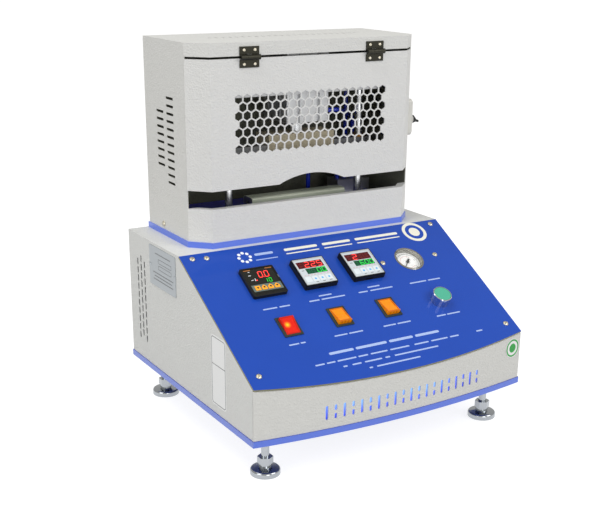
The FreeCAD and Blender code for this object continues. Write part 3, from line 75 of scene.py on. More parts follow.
def panel_place(column, row, lift=0.0):
    """The frame on the sloping panel at a column and row, lifted straight out of its face."""
    slope = Matrix.Rotation(SLOPE, 4, "X")
    start = Matrix.Translation(Vector((0, CORNER_Y, BASE_TOP + APRON_RISE)) * MM)
    return start @ slope @ Matrix.Translation(Vector((column, row, lift)) * MM)


def left_place(run, rise, out=0.0):
    """The frame on the console's left side, with x to the front and y up."""
    turn = Matrix(((0, 0, -1, 0), (-1, 0, 0, 0), (0, 1, 0, 0), (0, 0, 0, 1)))
    spot = Vector((-HALF_WIDTH - out, CORNER_Y + run, BASE_TOP + rise)) * MM
    return Matrix.Translation(spot) @ turn


def start_clean():
    if bpy.context.object and bpy.context.object.mode != "OBJECT":
        bpy.ops.object.mode_set(mode="OBJECT")
    bpy.ops.object.select_all(action="DESELECT")


def keep(piece, name, material, body="instrument", place=None):
    """Names a finished piece, puts its place in its mesh, and lets it ride on a body."""
    start_clean()
    piece.data.transform((place or Matrix.Identity(4)) @ piece.matrix_basis)
    piece.matrix_basis = Matrix.Identity(4)
    piece.name = name
    piece.data.materials.clear()
    piece.data.materials.append(material)
    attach(piece, body)
    return piece


def joined(pieces):
    """Several meshes as one. Each one's place goes into its mesh first."""
    start_clean()
    for piece in pieces:
        piece.data.transform(piece.matrix_basis)
        piece.matrix_basis = Matrix.Identity(4)
        piece.select_set(True)
    bpy.context.view_layer.objects.active = pieces[0]
    bpy.ops.object.join()
    return pieces[0]


def copied(piece, x, y, turn=0.0):
    """A copy with its own mesh, moved in its own plane and turned about Z."""
    copy = piece.copy()
    copy.data = piece.data.copy()
    bpy.context.scene.collection.objects.link(copy)
    shift = Matrix.Translation(Vector((x, y, 0)) * MM)
    copy.matrix_basis = shift @ Matrix.Rotation(turn, 4, "Z") @ piece.matrix_basis
    return copy


def discard(piece):
    bpy.data.objects.remove(piece)


def copies(piece, spots):
    """Copies of a piece, one at each spot, in place of the piece itself."""
    made = [copied(piece, *spot) for spot in spots]
    discard(piece)
    return made


def pick_faces(piece, test):
    """Selects the faces whose centre and normal pass the test, in edit mode."""
    bpy.ops.object.mode_set(mode="EDIT")
    bpy.ops.mesh.select_mode(type="FACE")
    bpy.ops.mesh.select_all(action="DESELECT")
    bpy.ops.object.mode_set(mode="OBJECT")
    for face in piece.data.polygons:
        face.select = test(face.center, face.normal)
    bpy.ops.object.mode_set(mode="EDIT")


def pick_edges(piece, test):
    """Selects the edges whose two ends pass the test, in edit mode."""
    bpy.ops.object.mode_set(mode="EDIT")
    bpy.ops.mesh.select_mode(type="EDGE")
    bpy.ops.mesh.select_all(action="DESELECT")
    bpy.ops.object.mode_set(mode="OBJECT")
    points = piece.data.vertices
    for edge in piece.data.edges:
        edge.select = test(points[edge.vertices[0]].co, points[edge.vertices[1]].co)
    bpy.ops.object.mode_set(mode="EDIT")


# Forms


def plate(wide, tall, thick, radius):
    """A thin plate on the XY plane with rounded corners."""
    start_clean()
    bpy.ops.mesh.primitive_cube_add(size=1, location=(0, 0, thick * MM / 2))
    piece = bpy.context.object
    piece.scale = (wide * MM, tall * MM, thick * MM)
    bpy.ops.object.transform_apply(location=True, scale=True)
    pick_edges(piece, lambda a, b: abs(a.z - b.z) > thick * MM / 2)
    bpy.ops.mesh.bevel(offset=radius * MM, segments=5)
    bpy.ops.object.mode_set(mode="OBJECT")
    return piece


def outline_plate(wide, tall, thick, radius, border):
    """A thin frame with rounded corners, open in the middle."""
    piece = plate(wide, tall, thick, radius)
    pick_faces(piece, lambda centre, normal: abs(normal.z) > 0.9)
    bpy.ops.mesh.inset(thickness=border * MM, use_even_offset=True)
    bpy.ops.mesh.bridge_edge_loops()
    bpy.ops.object.mode_set(mode="OBJECT")
    return piece


def segment(long, wide, thick):
    """One bar of a lit digit, drawn out to a point at both ends."""
    start_clean()
    bpy.ops.mesh.primitive_cube_add(size=1, location=(0, 0, thick * MM / 2))
    piece = bpy.context.object
    piece.scale = ((long - wide) * MM, wide * MM, thick * MM)
    bpy.ops.object.transform_apply(location=True, scale=True)
    for side in (-1, 1):
        pick_faces(piece, lambda centre, normal: normal.x * side > 0.9)
        reach = (side * wide * MM / 2, 0, 0)
        bpy.ops.mesh.extrude_region_move(TRANSFORM_OT_translate={"value": reach})
        bpy.ops.transform.resize(value=(1, 0.15, 1))
    bpy.ops.object.mode_set(mode="OBJECT")
    return piece


def ring(radius, wide, thick, steps):
    """A flat ring on the XY plane."""
    start_clean()
    bpy.ops.mesh.primitive_cylinder_add(vertices=steps, radius=radius * MM, depth=thick * MM)
    piece = bpy.context.object
    pick_faces(piece, lambda centre, normal: abs(normal.z) > 0.9)
    bpy.ops.mesh.inset(thickness=wide * MM, use_even_offset=True)
    bpy.ops.mesh.bridge_edge_loops()
    bpy.ops.object.mode_set(mode="OBJECT")
    piece.data.transform(Matrix.Translation((0, 0, thick * MM / 2)))
    return piece


def disc(radius, thick, edge, steps=32):
    """A round button on the XY plane with a softened upper rim."""
    start_clean()
    middle = (0, 0, thick * MM / 2)
    bpy.ops.mesh.primitive_cylinder_add(
        vertices=steps, radius=radius * MM, depth=thick * MM, location=middle
    )
    piece = bpy.context.object
    bpy.ops.object.transform_apply(location=True)
    pick_edges(piece, lambda a, b: min(a.z, b.z) > thick * MM * 0.9)
    bpy.ops.mesh.bevel(offset=edge * MM, segments=2)
    bpy.ops.object.mode_set(mode="OBJECT")
    return piece


def arc_band(radius, wide, thick, start, sweep):
    """A flat band bent round part of a circle, spun from its own cross-section."""
    steps = 40
    start_clean()
    bpy.ops.mesh.primitive_plane_add(size=1, rotation=(math.pi / 2, 0, 0))
    piece = bpy.context.object
    piece.scale = (wide * MM, thick * MM, 1)
    bpy.ops.object.transform_apply(rotation=True, scale=True)
    piece.data.transform(Matrix.Translation((radius * MM, 0, thick * MM / 2)))
    bpy.ops.object.mode_set(mode="EDIT")
    bpy.ops.mesh.select_all(action="SELECT")
    bpy.ops.mesh.spin(steps=steps, angle=sweep, center=(0, 0, 0), axis=(0, 0, 1))
    bpy.ops.mesh.select_all(action="SELECT")
    bpy.ops.mesh.remove_doubles(threshold=1e-6)
    bpy.ops.mesh.normals_make_consistent(inside=False)
    bpy.ops.object.mode_set(mode="OBJECT")
    piece.data.transform(Matrix.Rotation(start, 4, "Z"))
    return piece


def numeral(text, size, thick):
    """A plain number as a thin mesh, centred."""
    start_clean()
    bpy.ops.object.text_add()
    piece = bpy.context.object
    piece.data.body = text
    piece.data.size = size * MM
    piece.data.extrude = thick * MM / 2
    piece.data.align_x = "CENTER"
    piece.data.align_y = "CENTER"
    piece.data.resolution_u = 3
    bpy.ops.object.convert(target="MESH")
    piece = bpy.context.object
    bpy.ops.object.mode_set(mode="EDIT")
    bpy.ops.mesh.select_all(action="SELECT")
    bpy.ops.mesh.remove_doubles(threshold=1e-7)
    bpy.ops.object.mode_set(mode="OBJECT")
    return piece


# Materials


def colour(code):
    """An sRGB hex value as linear light."""
    channels = [int(code[i : i + 2], 16) / 255 for i in (1, 3, 5)]
    linear = [c / 12.92 if c <= 0.04045 else ((c + 0.055) / 1.055) ** 2.4 for c in channels]
    return (*linear, 1)


def add(tree, kind, inputs=(), **settings):
    """A node with its settings. Each input is a value, or another node's output."""
    made = tree.nodes.new(kind)
    for name, value in settings.items():
        setattr(made, name, value)
    for name, value in dict(inputs).items():
        if isinstance(value, bpy.types.NodeSocket):
            tree.links.new(value, made.inputs[name])
        else:
            made.inputs[name].default_value = value
    return made


def material(name, base, roughness, metallic=0.0, **sockets):
    """A named material, and its tree, shader and Object coordinates."""
    made = bpy.data.materials.new(name)
    made.use_nodes = True
    tree = made.node_tree
    shader = tree.nodes["Principled BSDF"]
    shader.inputs["Base Color"].default_value = colour(base)
    shader.inputs["Roughness"].default_value = roughness
    shader.inputs["Metallic"].default_value = metallic
    for socket, value in sockets.items():
        label = socket.replace("_", " ").title().replace("Ior", "IOR")
        shader.inputs[label].default_value = colour(value) if isinstance(value, str) else value
    place = add(tree, "ShaderNodeTexCoord").outputs["Object"]
    return made, tree, shader, place


def maths(tree, operation, first, second=0.0):
    """The outcome of one sum on what other nodes give."""
    return add(tree, "ShaderNodeMath", {0: first, 1: second}, operation=operation).outputs[0]


def noise(tree, place, size, detail=2.0):
    """Soft patches about as wide as the size, in millimetres."""
    field = {"Vector": place, "Scale": 1 / (size * MM), "Detail": detail}
    return add(tree, "ShaderNodeTexNoise", field).outputs["Fac"]


def blend(tree, shader, factor, first, second):
    """Takes the base colour from the first to the second as the factor rises to one."""
    shades = {"Factor": factor, 6: first, 7: second}
    mix = add(tree, "ShaderNodeMix", shades, data_type="RGBA")
    tree.links.new(mix.outputs[2], shader.inputs["Base Color"])


def vary_gloss(tree, shader, factor, low, high):
    """Spreads the roughness between two values."""
    spread = add(tree, "ShaderNodeMapRange", {"Value": factor, "To Min": low, "To Max": high})
    tree.links.new(spread.outputs["Result"], shader.inputs["Roughness"])


def grain(tree, shader, place, size, low, high):
    """Gives a finish a slight change of shade over patches of one size."""
    base = shader.inputs["Base Color"].default_value
    dark = [value * low for value in base[:3]] + [1]
    light = [min(1, value * high) for value in base[:3]] + [1]
    blend(tree, shader, noise(tree, place, size), dark, light)


def bump(tree, shader, height, strength, distance):
    """Raises a surface by a height field, over a distance in millimetres."""
    field = {"Height": height, "Strength": strength, "Distance": distance * MM}
    made = add(tree, "ShaderNodeBump", field)
    tree.links.new(made.outputs["Normal"], shader.inputs["Normal"])


def powder_coat(name, base):
    """Textured powder coat: pebbles about 2.2 mm apart that break the light up finely."""
    made, tree, shader, place = material(name, base, 0.5, specular_ior_level=0.4)
    grain(tree, shader, place, 9, 0.965, 1.03)
    pebble = add(tree, "ShaderNodeTexVoronoi", {"Vector": place, "Scale": 1 / (2.2 * MM)})
    relief = maths(tree, "MULTIPLY", pebble.outputs["Distance"], noise(tree, place, 3.6, 3.0))
    bump(tree, shader, relief, 0.9, 0.85)
    return made, tree, shader, place


def overlay(tree, shader, factor, code):
    """Lays a plain colour over a finish where the factor is one."""
    under = shader.inputs["Base Color"].links[0].from_socket
    blend(tree, shader, factor, under, colour(code))


def coat_with_painted_shade_inside(name, base, node, inner, cut_corner=None):
    """A sheet case's coat. Faces deeper than its skin are painted dark, as shade inside the case
    where a vent shows it.
    """
    made, tree, shader, place = powder_coat(name, base)
    low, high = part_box(node)
    skin = 0.8 * MM
    middle = (low + high) / 2
    half = (high - low) / 2
    axes = add(tree, "ShaderNodeSeparateXYZ", {"Vector": place})
    spans = []
    for axis, letter in enumerate("XYZ"):
        off = maths(tree, "SUBTRACT", axes.outputs[letter], middle[axis])
        spans.append((maths(tree, "ABSOLUTE", off), half[axis] - skin))
    if cut_corner:
        corner = maths(tree, "SUBTRACT", spans[0][0], axes.outputs["Y"])
        spans.append((corner, half.x - cut_corner * MM - low.y - 2 * skin))
    near = [maths(tree, "LESS_THAN", measure, limit) for measure, limit in spans]
    inside = near[0]
    for other in near[1:]:
        inside = maths(tree, "MULTIPLY", inside, other)
    # Painted shade: the inner faces take the dark colour.
    overlay(tree, shader, inside, inner)
    return made


def gloss_panel():
    """Screen-printed blue under a clear coat. The sheet's cut edges, below its face, stay bare."""
    coat = {"coat_weight": 0.25, "coat_roughness": 0.04, "specular_ior_level": 0.2}
    made, tree, shader, place = material("gloss_blue_panel", "#1646AC", 0.4, **coat)
    grain(tree, shader, place, 60, 0.94, 1.06)
    print_depth = 0.15
    outward = (0, -math.sin(SLOPE), math.cos(SLOPE))
    level = panel_place(0, 0, -print_depth).translation.dot(Vector(outward))
    height = add(tree, "ShaderNodeVectorMath", {0: place, 1: outward}, operation="DOT_PRODUCT")
    edge = maths(tree, "LESS_THAN", height.outputs["Value"], level)
    overlay(tree, shader, edge, "#8A8766")
    bump(tree, shader, noise(tree, place, 14, 1.0), 0.05, 0.3)
    return made


def base_enamel_with_painted_shade():
    """The base plate's enamel, with its upper face painted a deeper blue as shade where it meets
    the case.
    """
    made, tree, shader, place = enamel_coat("base_blue_enamel_shaded_top", "#5674DC")
    axes = add(tree, "ShaderNodeSeparateXYZ", {"Vector": place})
    top = (BASE_TOP - 0.2) * MM
    # Painted shade on the upper face.
    overlay(tree, shader, maths(tree, "GREATER_THAN", axes.outputs["Z"], top), "#1C36A4")
    return made


def enamel_coat(name, base):
    """Smooth stoved enamel with a slight orange-peel."""
    made, tree, shader, place = material(name, base, 0.35, coat_weight=0.4, coat_roughness=0.15)
    grain(tree, shader, place, 25, 0.97, 1.03)
    bump(tree, shader, noise(tree, place, 2.5, 1.0), 0.15, 0.1)
    return made, tree, shader, place


def bright_metal(name, base, roughness, scratch=0.03):
    """Plated or polished metal whose gloss varies a little from handling."""
    made, tree, shader, place = material(name, base, roughness, 1.0)
    smudge = noise(tree, place, 6, 3.0)
    vary_gloss(tree, shader, smudge, max(0.02, roughness - scratch), roughness + scratch)
    return made


def brushed_metal(name, base, roughness, across):
    """Metal with fine parallel brushing; across is the axis that the lines cut over."""
    made, tree, shader, place = material(name, base, roughness, 1.0)
    along, pitch = 60.0, 0.35 * MM
    stretch = [along] * 3
    stretch[across] = 1 / pitch
    squeeze = add(tree, "ShaderNodeMapping", {"Vector": place, "Scale": stretch})
    stretched = {"Vector": squeeze.outputs["Vector"], "Scale": 1.0, "Detail": 3.0}
    lines = add(tree, "ShaderNodeTexNoise", stretched).outputs["Fac"]
    vary_gloss(tree, shader, lines, roughness - 0.08, roughness + 0.12)
    bump(tree, shader, lines, 0.12, 0.05)
    return made


def moulded(name, base, roughness, grit=0.6, relief=0.08, **sockets):
    """Moulded plastic with a fine spark-eroded grain."""
    made, tree, shader, place = material(name, base, roughness, **sockets)
    grain(tree, shader, place, 5, 0.95, 1.05)
    bump(tree, shader, noise(tree, place, grit), 0.25, relief)
    return made


def lamp_plastic(name, base, deep, glow, strength, centre=None):
    """Tinted clear rocker plastic, lit from inside where its lamp sits."""
    coat = {"coat_weight": 0.12, "coat_roughness": 0.06, "specular_ior_level": 0.2}
    lamp = {"emission_color": glow, "emission_strength": strength}
    made, tree, shader, place = material(name, base, 0.2, **coat, **lamp)
    blend(tree, shader, noise(tree, place, 4), colour(base), colour(deep))
    if centre:
        reach, falloff = 6.0 * MM, 2.2
        shift = {"Location": [-c / reach for c in centre], "Scale": [1 / reach] * 3}
        spot = add(tree, "ShaderNodeMapping", {"Vector": place, **shift})
        around = {"Vector": spot.outputs["Vector"]}
        ball = add(tree, "ShaderNodeTexGradient", around, gradient_type="SPHERICAL")
        power = maths(tree, "POWER", ball.outputs["Fac"], falloff)
        glare = maths(tree, "MULTIPLY", power, strength)
        tree.links.new(glare, shader.inputs["Emission Strength"])
    return made


def lit(name, base, strength):
    """A lit display segment."""
    return material(name, base, 0.4, emission_color=base, emission_strength=strength)[0]


def window_tint(name, base):
    """Dark smoked acrylic in front of a display."""
    made, tree, shader, place = material(name, base, 0.15, coat_weight=0.1, specular_ior_level=0.2)
    grain(tree, shader, place, 3, 0.85, 1.15)
    return made


def ink(name, base, roughness=0.45):
    """Screen-printed ink, a little uneven in its cover."""
    made, tree, shader, place = material(name, base, roughness)
    grain(tree, shader, place, 1.2, 0.93, 1.03)
    return made


def light_strip():
    """Back-lit acrylic behind the apron: violet low down and paler above, unevenly along it."""
    made, tree, shader, place = material(
        "backlit_acrylic", "#3A55C8", 0.3, emission_strength=1.0
    )
    axes = add(tree, "ShaderNodeSeparateXYZ", {"Vector": place})
    rise = add(tree, "ShaderNodeMapRange", {"Value": axes.outputs["Z"]})
    rise.inputs["From Min"].default_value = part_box("light_panel")[0].z
    rise.inputs["From Max"].default_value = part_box("light_panel")[1].z
    both = maths(tree, "MULTIPLY", noise(tree, place, 70, 0.0), rise.outputs["Result"])
    spread = 1.9
    ramp = add(tree, "ShaderNodeValToRGB", {"Fac": maths(tree, "MULTIPLY", both, spread)})
    stops = ramp.color_ramp.elements
    stops[0].position = 0.1
    stops[0].color = colour("#2A2AB0")
    stops[1].position = 0.75
    stops[1].color = colour("#8CC4FF")
    middle = stops.new(0.42)
    middle.color = colour("#5C7CFA")
    tree.links.new(ramp.outputs["Color"], shader.inputs["Emission Color"])
    return made


def weave():
    """Glass cloth: two crossing sets of threads that show as a fine check."""
    thread = 0.9 * MM
    wave_turn = 20
    pale = "#F2F5E4"
    made, tree, shader, place = material("glass_cloth", pale, 0.55)
    spacing = {"Vector": place, "Scale": math.pi / thread / wave_turn}
    warp = add(tree, "ShaderNodeTexWave", spacing, bands_direction="X")
    weft = add(tree, "ShaderNodeTexWave", spacing, bands_direction="Y")
    cross = maths(tree, "MULTIPLY", warp.outputs["Fac"], weft.outputs["Fac"])
    blend(tree, shader, cross, colour("#ABB39E"), colour(pale))
    bump(tree, shader, cross, 0.6, 0.2)
    return made


def laminate():
    """Machined phenolic laminate: tan, with faint pressed layers."""
    made, tree, shader, place = material("tan_laminate", "#BDB297", 0.6)
    layers = noise(tree, place, 3, 5.0)
    blend(tree, shader, layers, colour("#A2977C"), colour("#C6BCA2"))
    bump(tree, shader, layers, 0.2, 0.1)
    return made


def clear_glass():
    """A thin clear lens: mostly open, with a soft shine."""
    return material("clear_lens", "#F4F8FA", 0.03, alpha=0.03)[0]


def rubber():
    """Matt black rubber with a dusty bloom."""
    made, tree, shader, place = material("black_rubber", "#161616", 0.75)
    grain(tree, shader, place, 2, 0.8, 1.4)
    return made


TOWER_CHAMFER = 23.3
COAT = powder_coat("powder_coat_grey", "#D2D2CF")[0]
# The console's coat is a lighter copy of the grey coat: painted light for the console's brighter
# side. Its inner faces are painted dark as shade.
SHELL_COAT = coat_with_painted_shade_inside("powder_coat_console_painted_light_and_shade", "#D9DAD8", "console_shell", "#1C1C18")
DOOR_COAT = powder_coat("powder_coat_door", "#D8D8D6")[0]
# The tower's inner faces are painted olive grey as shade inside it.
TOWER_COAT = coat_with_painted_shade_inside(
    "powder_coat_tower_painted_shade_inside", "#D4D4D1", "tower_shell", "#727364", TOWER_CHAMFER
)
PANEL_BLUE = gloss_panel()
BASE_BLUE = base_enamel_with_painted_shade()
BAND_BLUE = enamel_coat("band_blue_enamel", "#5674DC")[0]
DEEP_BLUE = enamel_coat("deep_blue_enamel", "#3C3CDC")[0]
CHROME = bright_metal("bright_chrome", "#D6D6D8", 0.07)
FOOT_CHROME = bright_metal("foot_chrome", "#AEB2B6", 0.12)
ZINC = bright_metal("plated_screw", "#D6CFBC", 0.28, 0.08)
STEEL = bright_metal("ground_steel", "#C9CBCD", 0.16)
# The gauge case's steel is darker than the other steel: painted shade for the shadow in the
# recessed bezel.
GAUGE_STEEL_SHADED = bright_metal("gauge_bezel_steel_painted_shade", "#A3A19A", 0.2)
ROD_CHROME = bright_metal("hard_chrome_rod", "#E6E8EA", 0.26, 0.05)
BRASS = bright_metal("turned_brass", "#CFA04A", 0.25, 0.06)
BRONZE = bright_metal("sintered_bronze", "#A5763F", 0.45, 0.1)
ALUMINIUM = brushed_metal("brushed_aluminium", "#BFC0C1", 0.35, 2)
ANODISED = brushed_metal("anodised_aluminium", "#CDCECF", 0.5, 0)
LABEL_METAL = brushed_metal("label_aluminium", "#A9AEB2", 0.42, 1)
HINGE_BLACK = bright_metal("black_oxide_steel", "#3A3932", 0.42, 0.1)
BLACK_ABS = moulded("black_abs", "#11110D", 0.34, specular_ior_level=0.3)
GREY_ABS = moulded("dark_grey_abs", "#30352D", 0.42, specular_ior_level=0.3)
SILVER_ABS = moulded("silver_grey_abs", "#BCC2C5", 0.35)
KEY_ABS = moulded("pale_key", "#DCE4E8", 0.35)
BOX_ABS = moulded("switch_box_abs", "#D5D4CE", 0.4)
STRIP_ABS = moulded("teal_grey_foil", "#66756F", 0.4)
# The timer keys' faint orange emission is painted glow, not a lamp.
AMBER_KEY = moulded("amber_key_painted_glow", "#FFA81C", 0.35, emission_color="#FF9A10", emission_strength=0.15)
GREEN_CAP = moulded("green_cap", "#4AAE90", 0.38, 0.9, 0.05)
BLUE_TUBE = moulded("blue_tube", "#1430B8", 0.25, coat_weight=0.4)
RUBBER = rubber()
LENS = clear_glass()
DIAL_WHITE = ink("dial_white", "#FFFFFC")
NEEDLE_BLACK = ink("needle_black", "#141414")
CLOTH = weave()
TAN = laminate()
GLOW = light_strip()
PRINT_WHITE = ink("white_print", "#EEF2F8")
PRINT_PALE = ink("pale_print", "#A8BCE8")
PRINT_AMBER = ink("amber_print", "#B06C30")
FOIL = ink("pale_foil", "#CBD3D8", 0.35)
PRINT_CREAM = ink("cream_print", "#EDEBDC")
# Grey print, also used for the painted highlight on the timer's bezel.
GREY_PRINT_AND_GLINT = ink("grey_print_and_painted_glint", "#6D7072")
PRINT_RED = ink("red_print", "#D88A86")
PRINT_GREEN = ink("green_print", "#1F9A3C")
PRINT_BLACK = ink("black_print", "#20211F")
LABEL_WHITE = ink("label_white", "#ECEDED", 0.3)
TIMER_GLASS = window_tint("timer_window", "#1E1F19")
RED_GLASS = window_tint("red_window", "#641A1C")
GREEN_GLASS = window_tint("green_window", "#1C5F40")
RED_LIT = lit("red_segments", "#FF3A34", 0.95)
RED_GHOST = window_tint("red_unlit", "#3A0C10")
GREEN_LIT = lit("green_segments", "#20D038", 0.75)
GREEN_GHOST = window_tint("green_unlit", "#0C3A22")
BLUE_DOT = lit("blue_dots", "#3FA4DC", 0.1)
LAMP_SPOT = panel_place(TIMER_COLUMN - 3, ROCKER_ROW + 0.5, 2.6).translation
RED_ROCKER = lamp_plastic("red_rocker", "#EE2A14", "#D41C0C", "#FFB020", 2.6, LAMP_SPOT)
AMBER_ROCKER = lamp_plastic("amber_rocker", "#F29402", "#E68200", "#FF8A08", 0.08)
# A darker copy of the amber rocker plastic for the heater rockers' rims and grip ribs: painted
# shade.
AMBER_SHADED_EDGE = lamp_plastic("amber_edge_painted_shade", "#DC7400", "#C45C00", "#FF8A10", 0.03)
RED_EDGE = lamp_plastic("red_edge", "#D8281C", "#B01810", "#FF4020", 0.05)

FINISHES = {
    "base_plate": BASE_BLUE,
    "console_shell": SHELL_COAT,
    "front_apron": COAT,
    "light_panel": GLOW,
    "control_panel": PANEL_BLUE,
    "case_screws": ZINC,
    "rating_plate": LABEL_METAL,
    "mains_inlet": BLACK_ABS,
    "air_inlet": BRASS,
    "front_left_foot": FOOT_CHROME,
    "front_right_foot": FOOT_CHROME,
    "back_left_foot": FOOT_CHROME,
    "back_right_foot": FOOT_CHROME,
    "timer_case": BLACK_ABS,
    "timer_key_1": AMBER_KEY,
    "timer_key_2": AMBER_KEY,
    "timer_key_3": AMBER_KEY,
    "timer_key_4": AMBER_KEY,
    "upper_controller_case": BLACK_ABS,
    "upper_controller_face": SILVER_ABS,
    "lower_controller_case": BLACK_ABS,
    "lower_controller_face": SILVER_ABS,
    "gauge_case": GAUGE_STEEL_SHADED,
    "gauge_dial": DIAL_WHITE,
    "gauge_needle": NEEDLE_BLACK,
    "gauge_lens": LENS,
    "gauge_bracket": STEEL,
    "push_button_bezel": CHROME,
    "push_button_cap": GREEN_CAP,
    "mains_switch": GREY_ABS,
    "mains_rocker": RED_ROCKER,
    "upper_heater_switch": GREY_ABS,
    "upper_heater_rocker": AMBER_ROCKER,
    "lower_heater_switch": GREY_ABS,
    "lower_heater_rocker": AMBER_ROCKER,
    "tower_base": BAND_BLUE,
    "tower_shell": TOWER_COAT,
    "tower_apron": DOOR_COAT,
    "guard_door": DOOR_COAT,
    "hinge_fixed_leaves": HINGE_BLACK,
    "hinge_door_leaves": HINGE_BLACK,
    "hinge_pins": STEEL,
    "hinge_screws": ZINC,
    "door_screws": ZINC,
    "press_base": DEEP_BLUE,
    "guide_rods": ROD_CHROME,
    "press_head": ALUMINIUM,
    "air_cylinder": ANODISED,
    "air_fittings": BRASS,
    "air_tubes": BLUE_TUBE,
    "solenoid_valve": ALUMINIUM,
    "piston_rod": STEEL,
    "crosshead": ALUMINIUM,
    "guide_bushes": BRONZE,
    "insulating_block": TAN,
    "upper_jaw": ALUMINIUM,
    "lower_jaw": ALUMINIUM,
    "jaw_cloth": CLOTH,
    "switch_box": BOX_ABS,
    "toggle_lever": RUBBER,
}


def dress_nodes():
    for name, finish in FINISHES.items():
        thing = nodes[name]
        if not thing.material_slots:
            thing.data.materials.append(finish)
        for slot in thing.material_slots:
            slot.material = finish


# The timer, the controllers and their digits

# The lit bars of each digit that the displays show.
SEGMENTS = {"0": "abcdef", "1": "bc", "2": "abged", "5": "afgcd", "6": "afgedc", " ": ""}
BAR_THICK = 0.08
STROKE = 0.11
BAR_GAP = 0.3
LEAN = 0.1


def digit_bars(wide, tall):
    """Place and turn of each of a digit's seven bars."""
    level, upright = wide / 2, tall / 4
    return {
        "a": (0, tall / 2, 0),
        "b": (level, upright, 1),
        "c": (level, -upright, 1),
        "d": (0, -tall / 2, 0),
        "e": (-level, -upright, 1),
        "f": (-level, upright, 1),
        "g": (0, 0, 0),
    }


def digits(name, text, place, wide, tall, pitch, lit_finish, ghost_finish=None):
    """A row of seven-segment digits that ends at its place; dark bars show where unlit."""
    stroke = tall * STROKE
    bars = {"lit": [], "ghost": []}
    level = segment(wide - stroke * BAR_GAP, stroke, BAR_THICK)
    upright = segment(tall / 2 - stroke * BAR_GAP, stroke, BAR_THICK)
    characters = [c for c in text if c != "."]
    for number, character in enumerate(characters):
        x0 = (number - len(characters) + 1) * pitch
        for bar, (x, y, turned) in digit_bars(wide, tall).items():
            kind = "lit" if bar in SEGMENTS[character] else "ghost"
            source = upright if turned else level
            turn = turned * math.pi / 2 - turned * LEAN
            bars[kind].append(copied(source, x0 + x + y * LEAN, y, turn))
    if "." in text:
        point = disc(stroke * 0.6, BAR_THICK, 0.02, 12)
        after = len(text) - text.index(".") - 1
        bars["lit"] += copies(point, [(-after * pitch + pitch * 0.5, -tall / 2)])
    discard(level)
    discard(upright)
    keep(joined(bars["lit"]), name + "_lit", lit_finish, place=place)
    if ghost_finish and bars["ghost"]:
        keep(joined(bars["ghost"]), name + "_unlit", ghost_finish, place=place)
    else:
        for bar in bars["ghost"]:
            discard(bar)


# Spot, length, height and turn of each pilot mark in the timer's window.
PILOT_MARKS = (
    (-15, 10.5, 3.6, 0.9, 0.0),
    (-14.5, 2.5, 3.4, 0.8, 0.2),
    (-10.4, 2.8, 4.6, 0.8, 1.4),
    (-13.5, 16.5, 2.4, 0.8, 0.0),
)


def timer_details():
    """Smoked window, digits, pilot marks and the key strip of the timer."""
    seat = TIMER_WINDOW + PRINT
    front = seat + 0.3

    def spot(x, y, lift):
        return panel_place(TIMER_COLUMN + x, INSTRUMENT_ROW + y, lift)

    keep(plate(41.6, 26.6, 0.25, 1.4), "timer_glass", TIMER_GLASS, place=spot(0, 7.5, seat))
    keep(plate(43.4, 13.4, 0.15, 0.9), "timer_key_strip", STRIP_ABS, place=spot(0, -12, seat))
    digits("timer_value", "0.0", spot(8.6, 10.2, front), 5.2, 9.6, 8.6, RED_LIT)
    digits("timer_target", "10", spot(9.4, -0.6, front), 3.2, 6.2, 6.0, GREEN_LIT)
    marks = []
    for x, y, long, tall, turn in PILOT_MARKS:
        marks += copies(plate(long, tall, 0.08, 0.3), [(x, y, turn)])
    keep(joined(marks), "timer_pilot_marks", PRINT_WHITE, place=spot(0, 0, front))
    keep(disc(0.9, 0.1, 0.03), "timer_relay_lamp", RED_LIT, place=spot(-8.6, 1.6, front))
    key_row, key_pitch = -11.5, 9
    for number in range(4):
        dot = disc(1.45, 0.08, 0.02, 16)
        name = f"timer_key_{number + 1}"
        place = spot((number - 1.5) * key_pitch, key_row, TIMER_KEY)
        keep(dot, name + "_dot", PRINT_BLACK, name + "_body", place)
    # A grey mark on the bezel's edge is a painted highlight, in the grey print's material.
    corner = plate(1.2, 4.6, 0.1, 0.3)
    keep(corner, "timer_bezel_glint", GREY_PRINT_AND_GLINT, place=spot(22.4, 3, TIMER_BEZEL))
    bars = copies(plate(9.6, 1.4, 0.05, 0.4), [(0, 0), (30.4, 0)])
    keep(joined(bars), "timer_bezel_marks", PRINT_AMBER, place=spot(-15, 19.5, front))


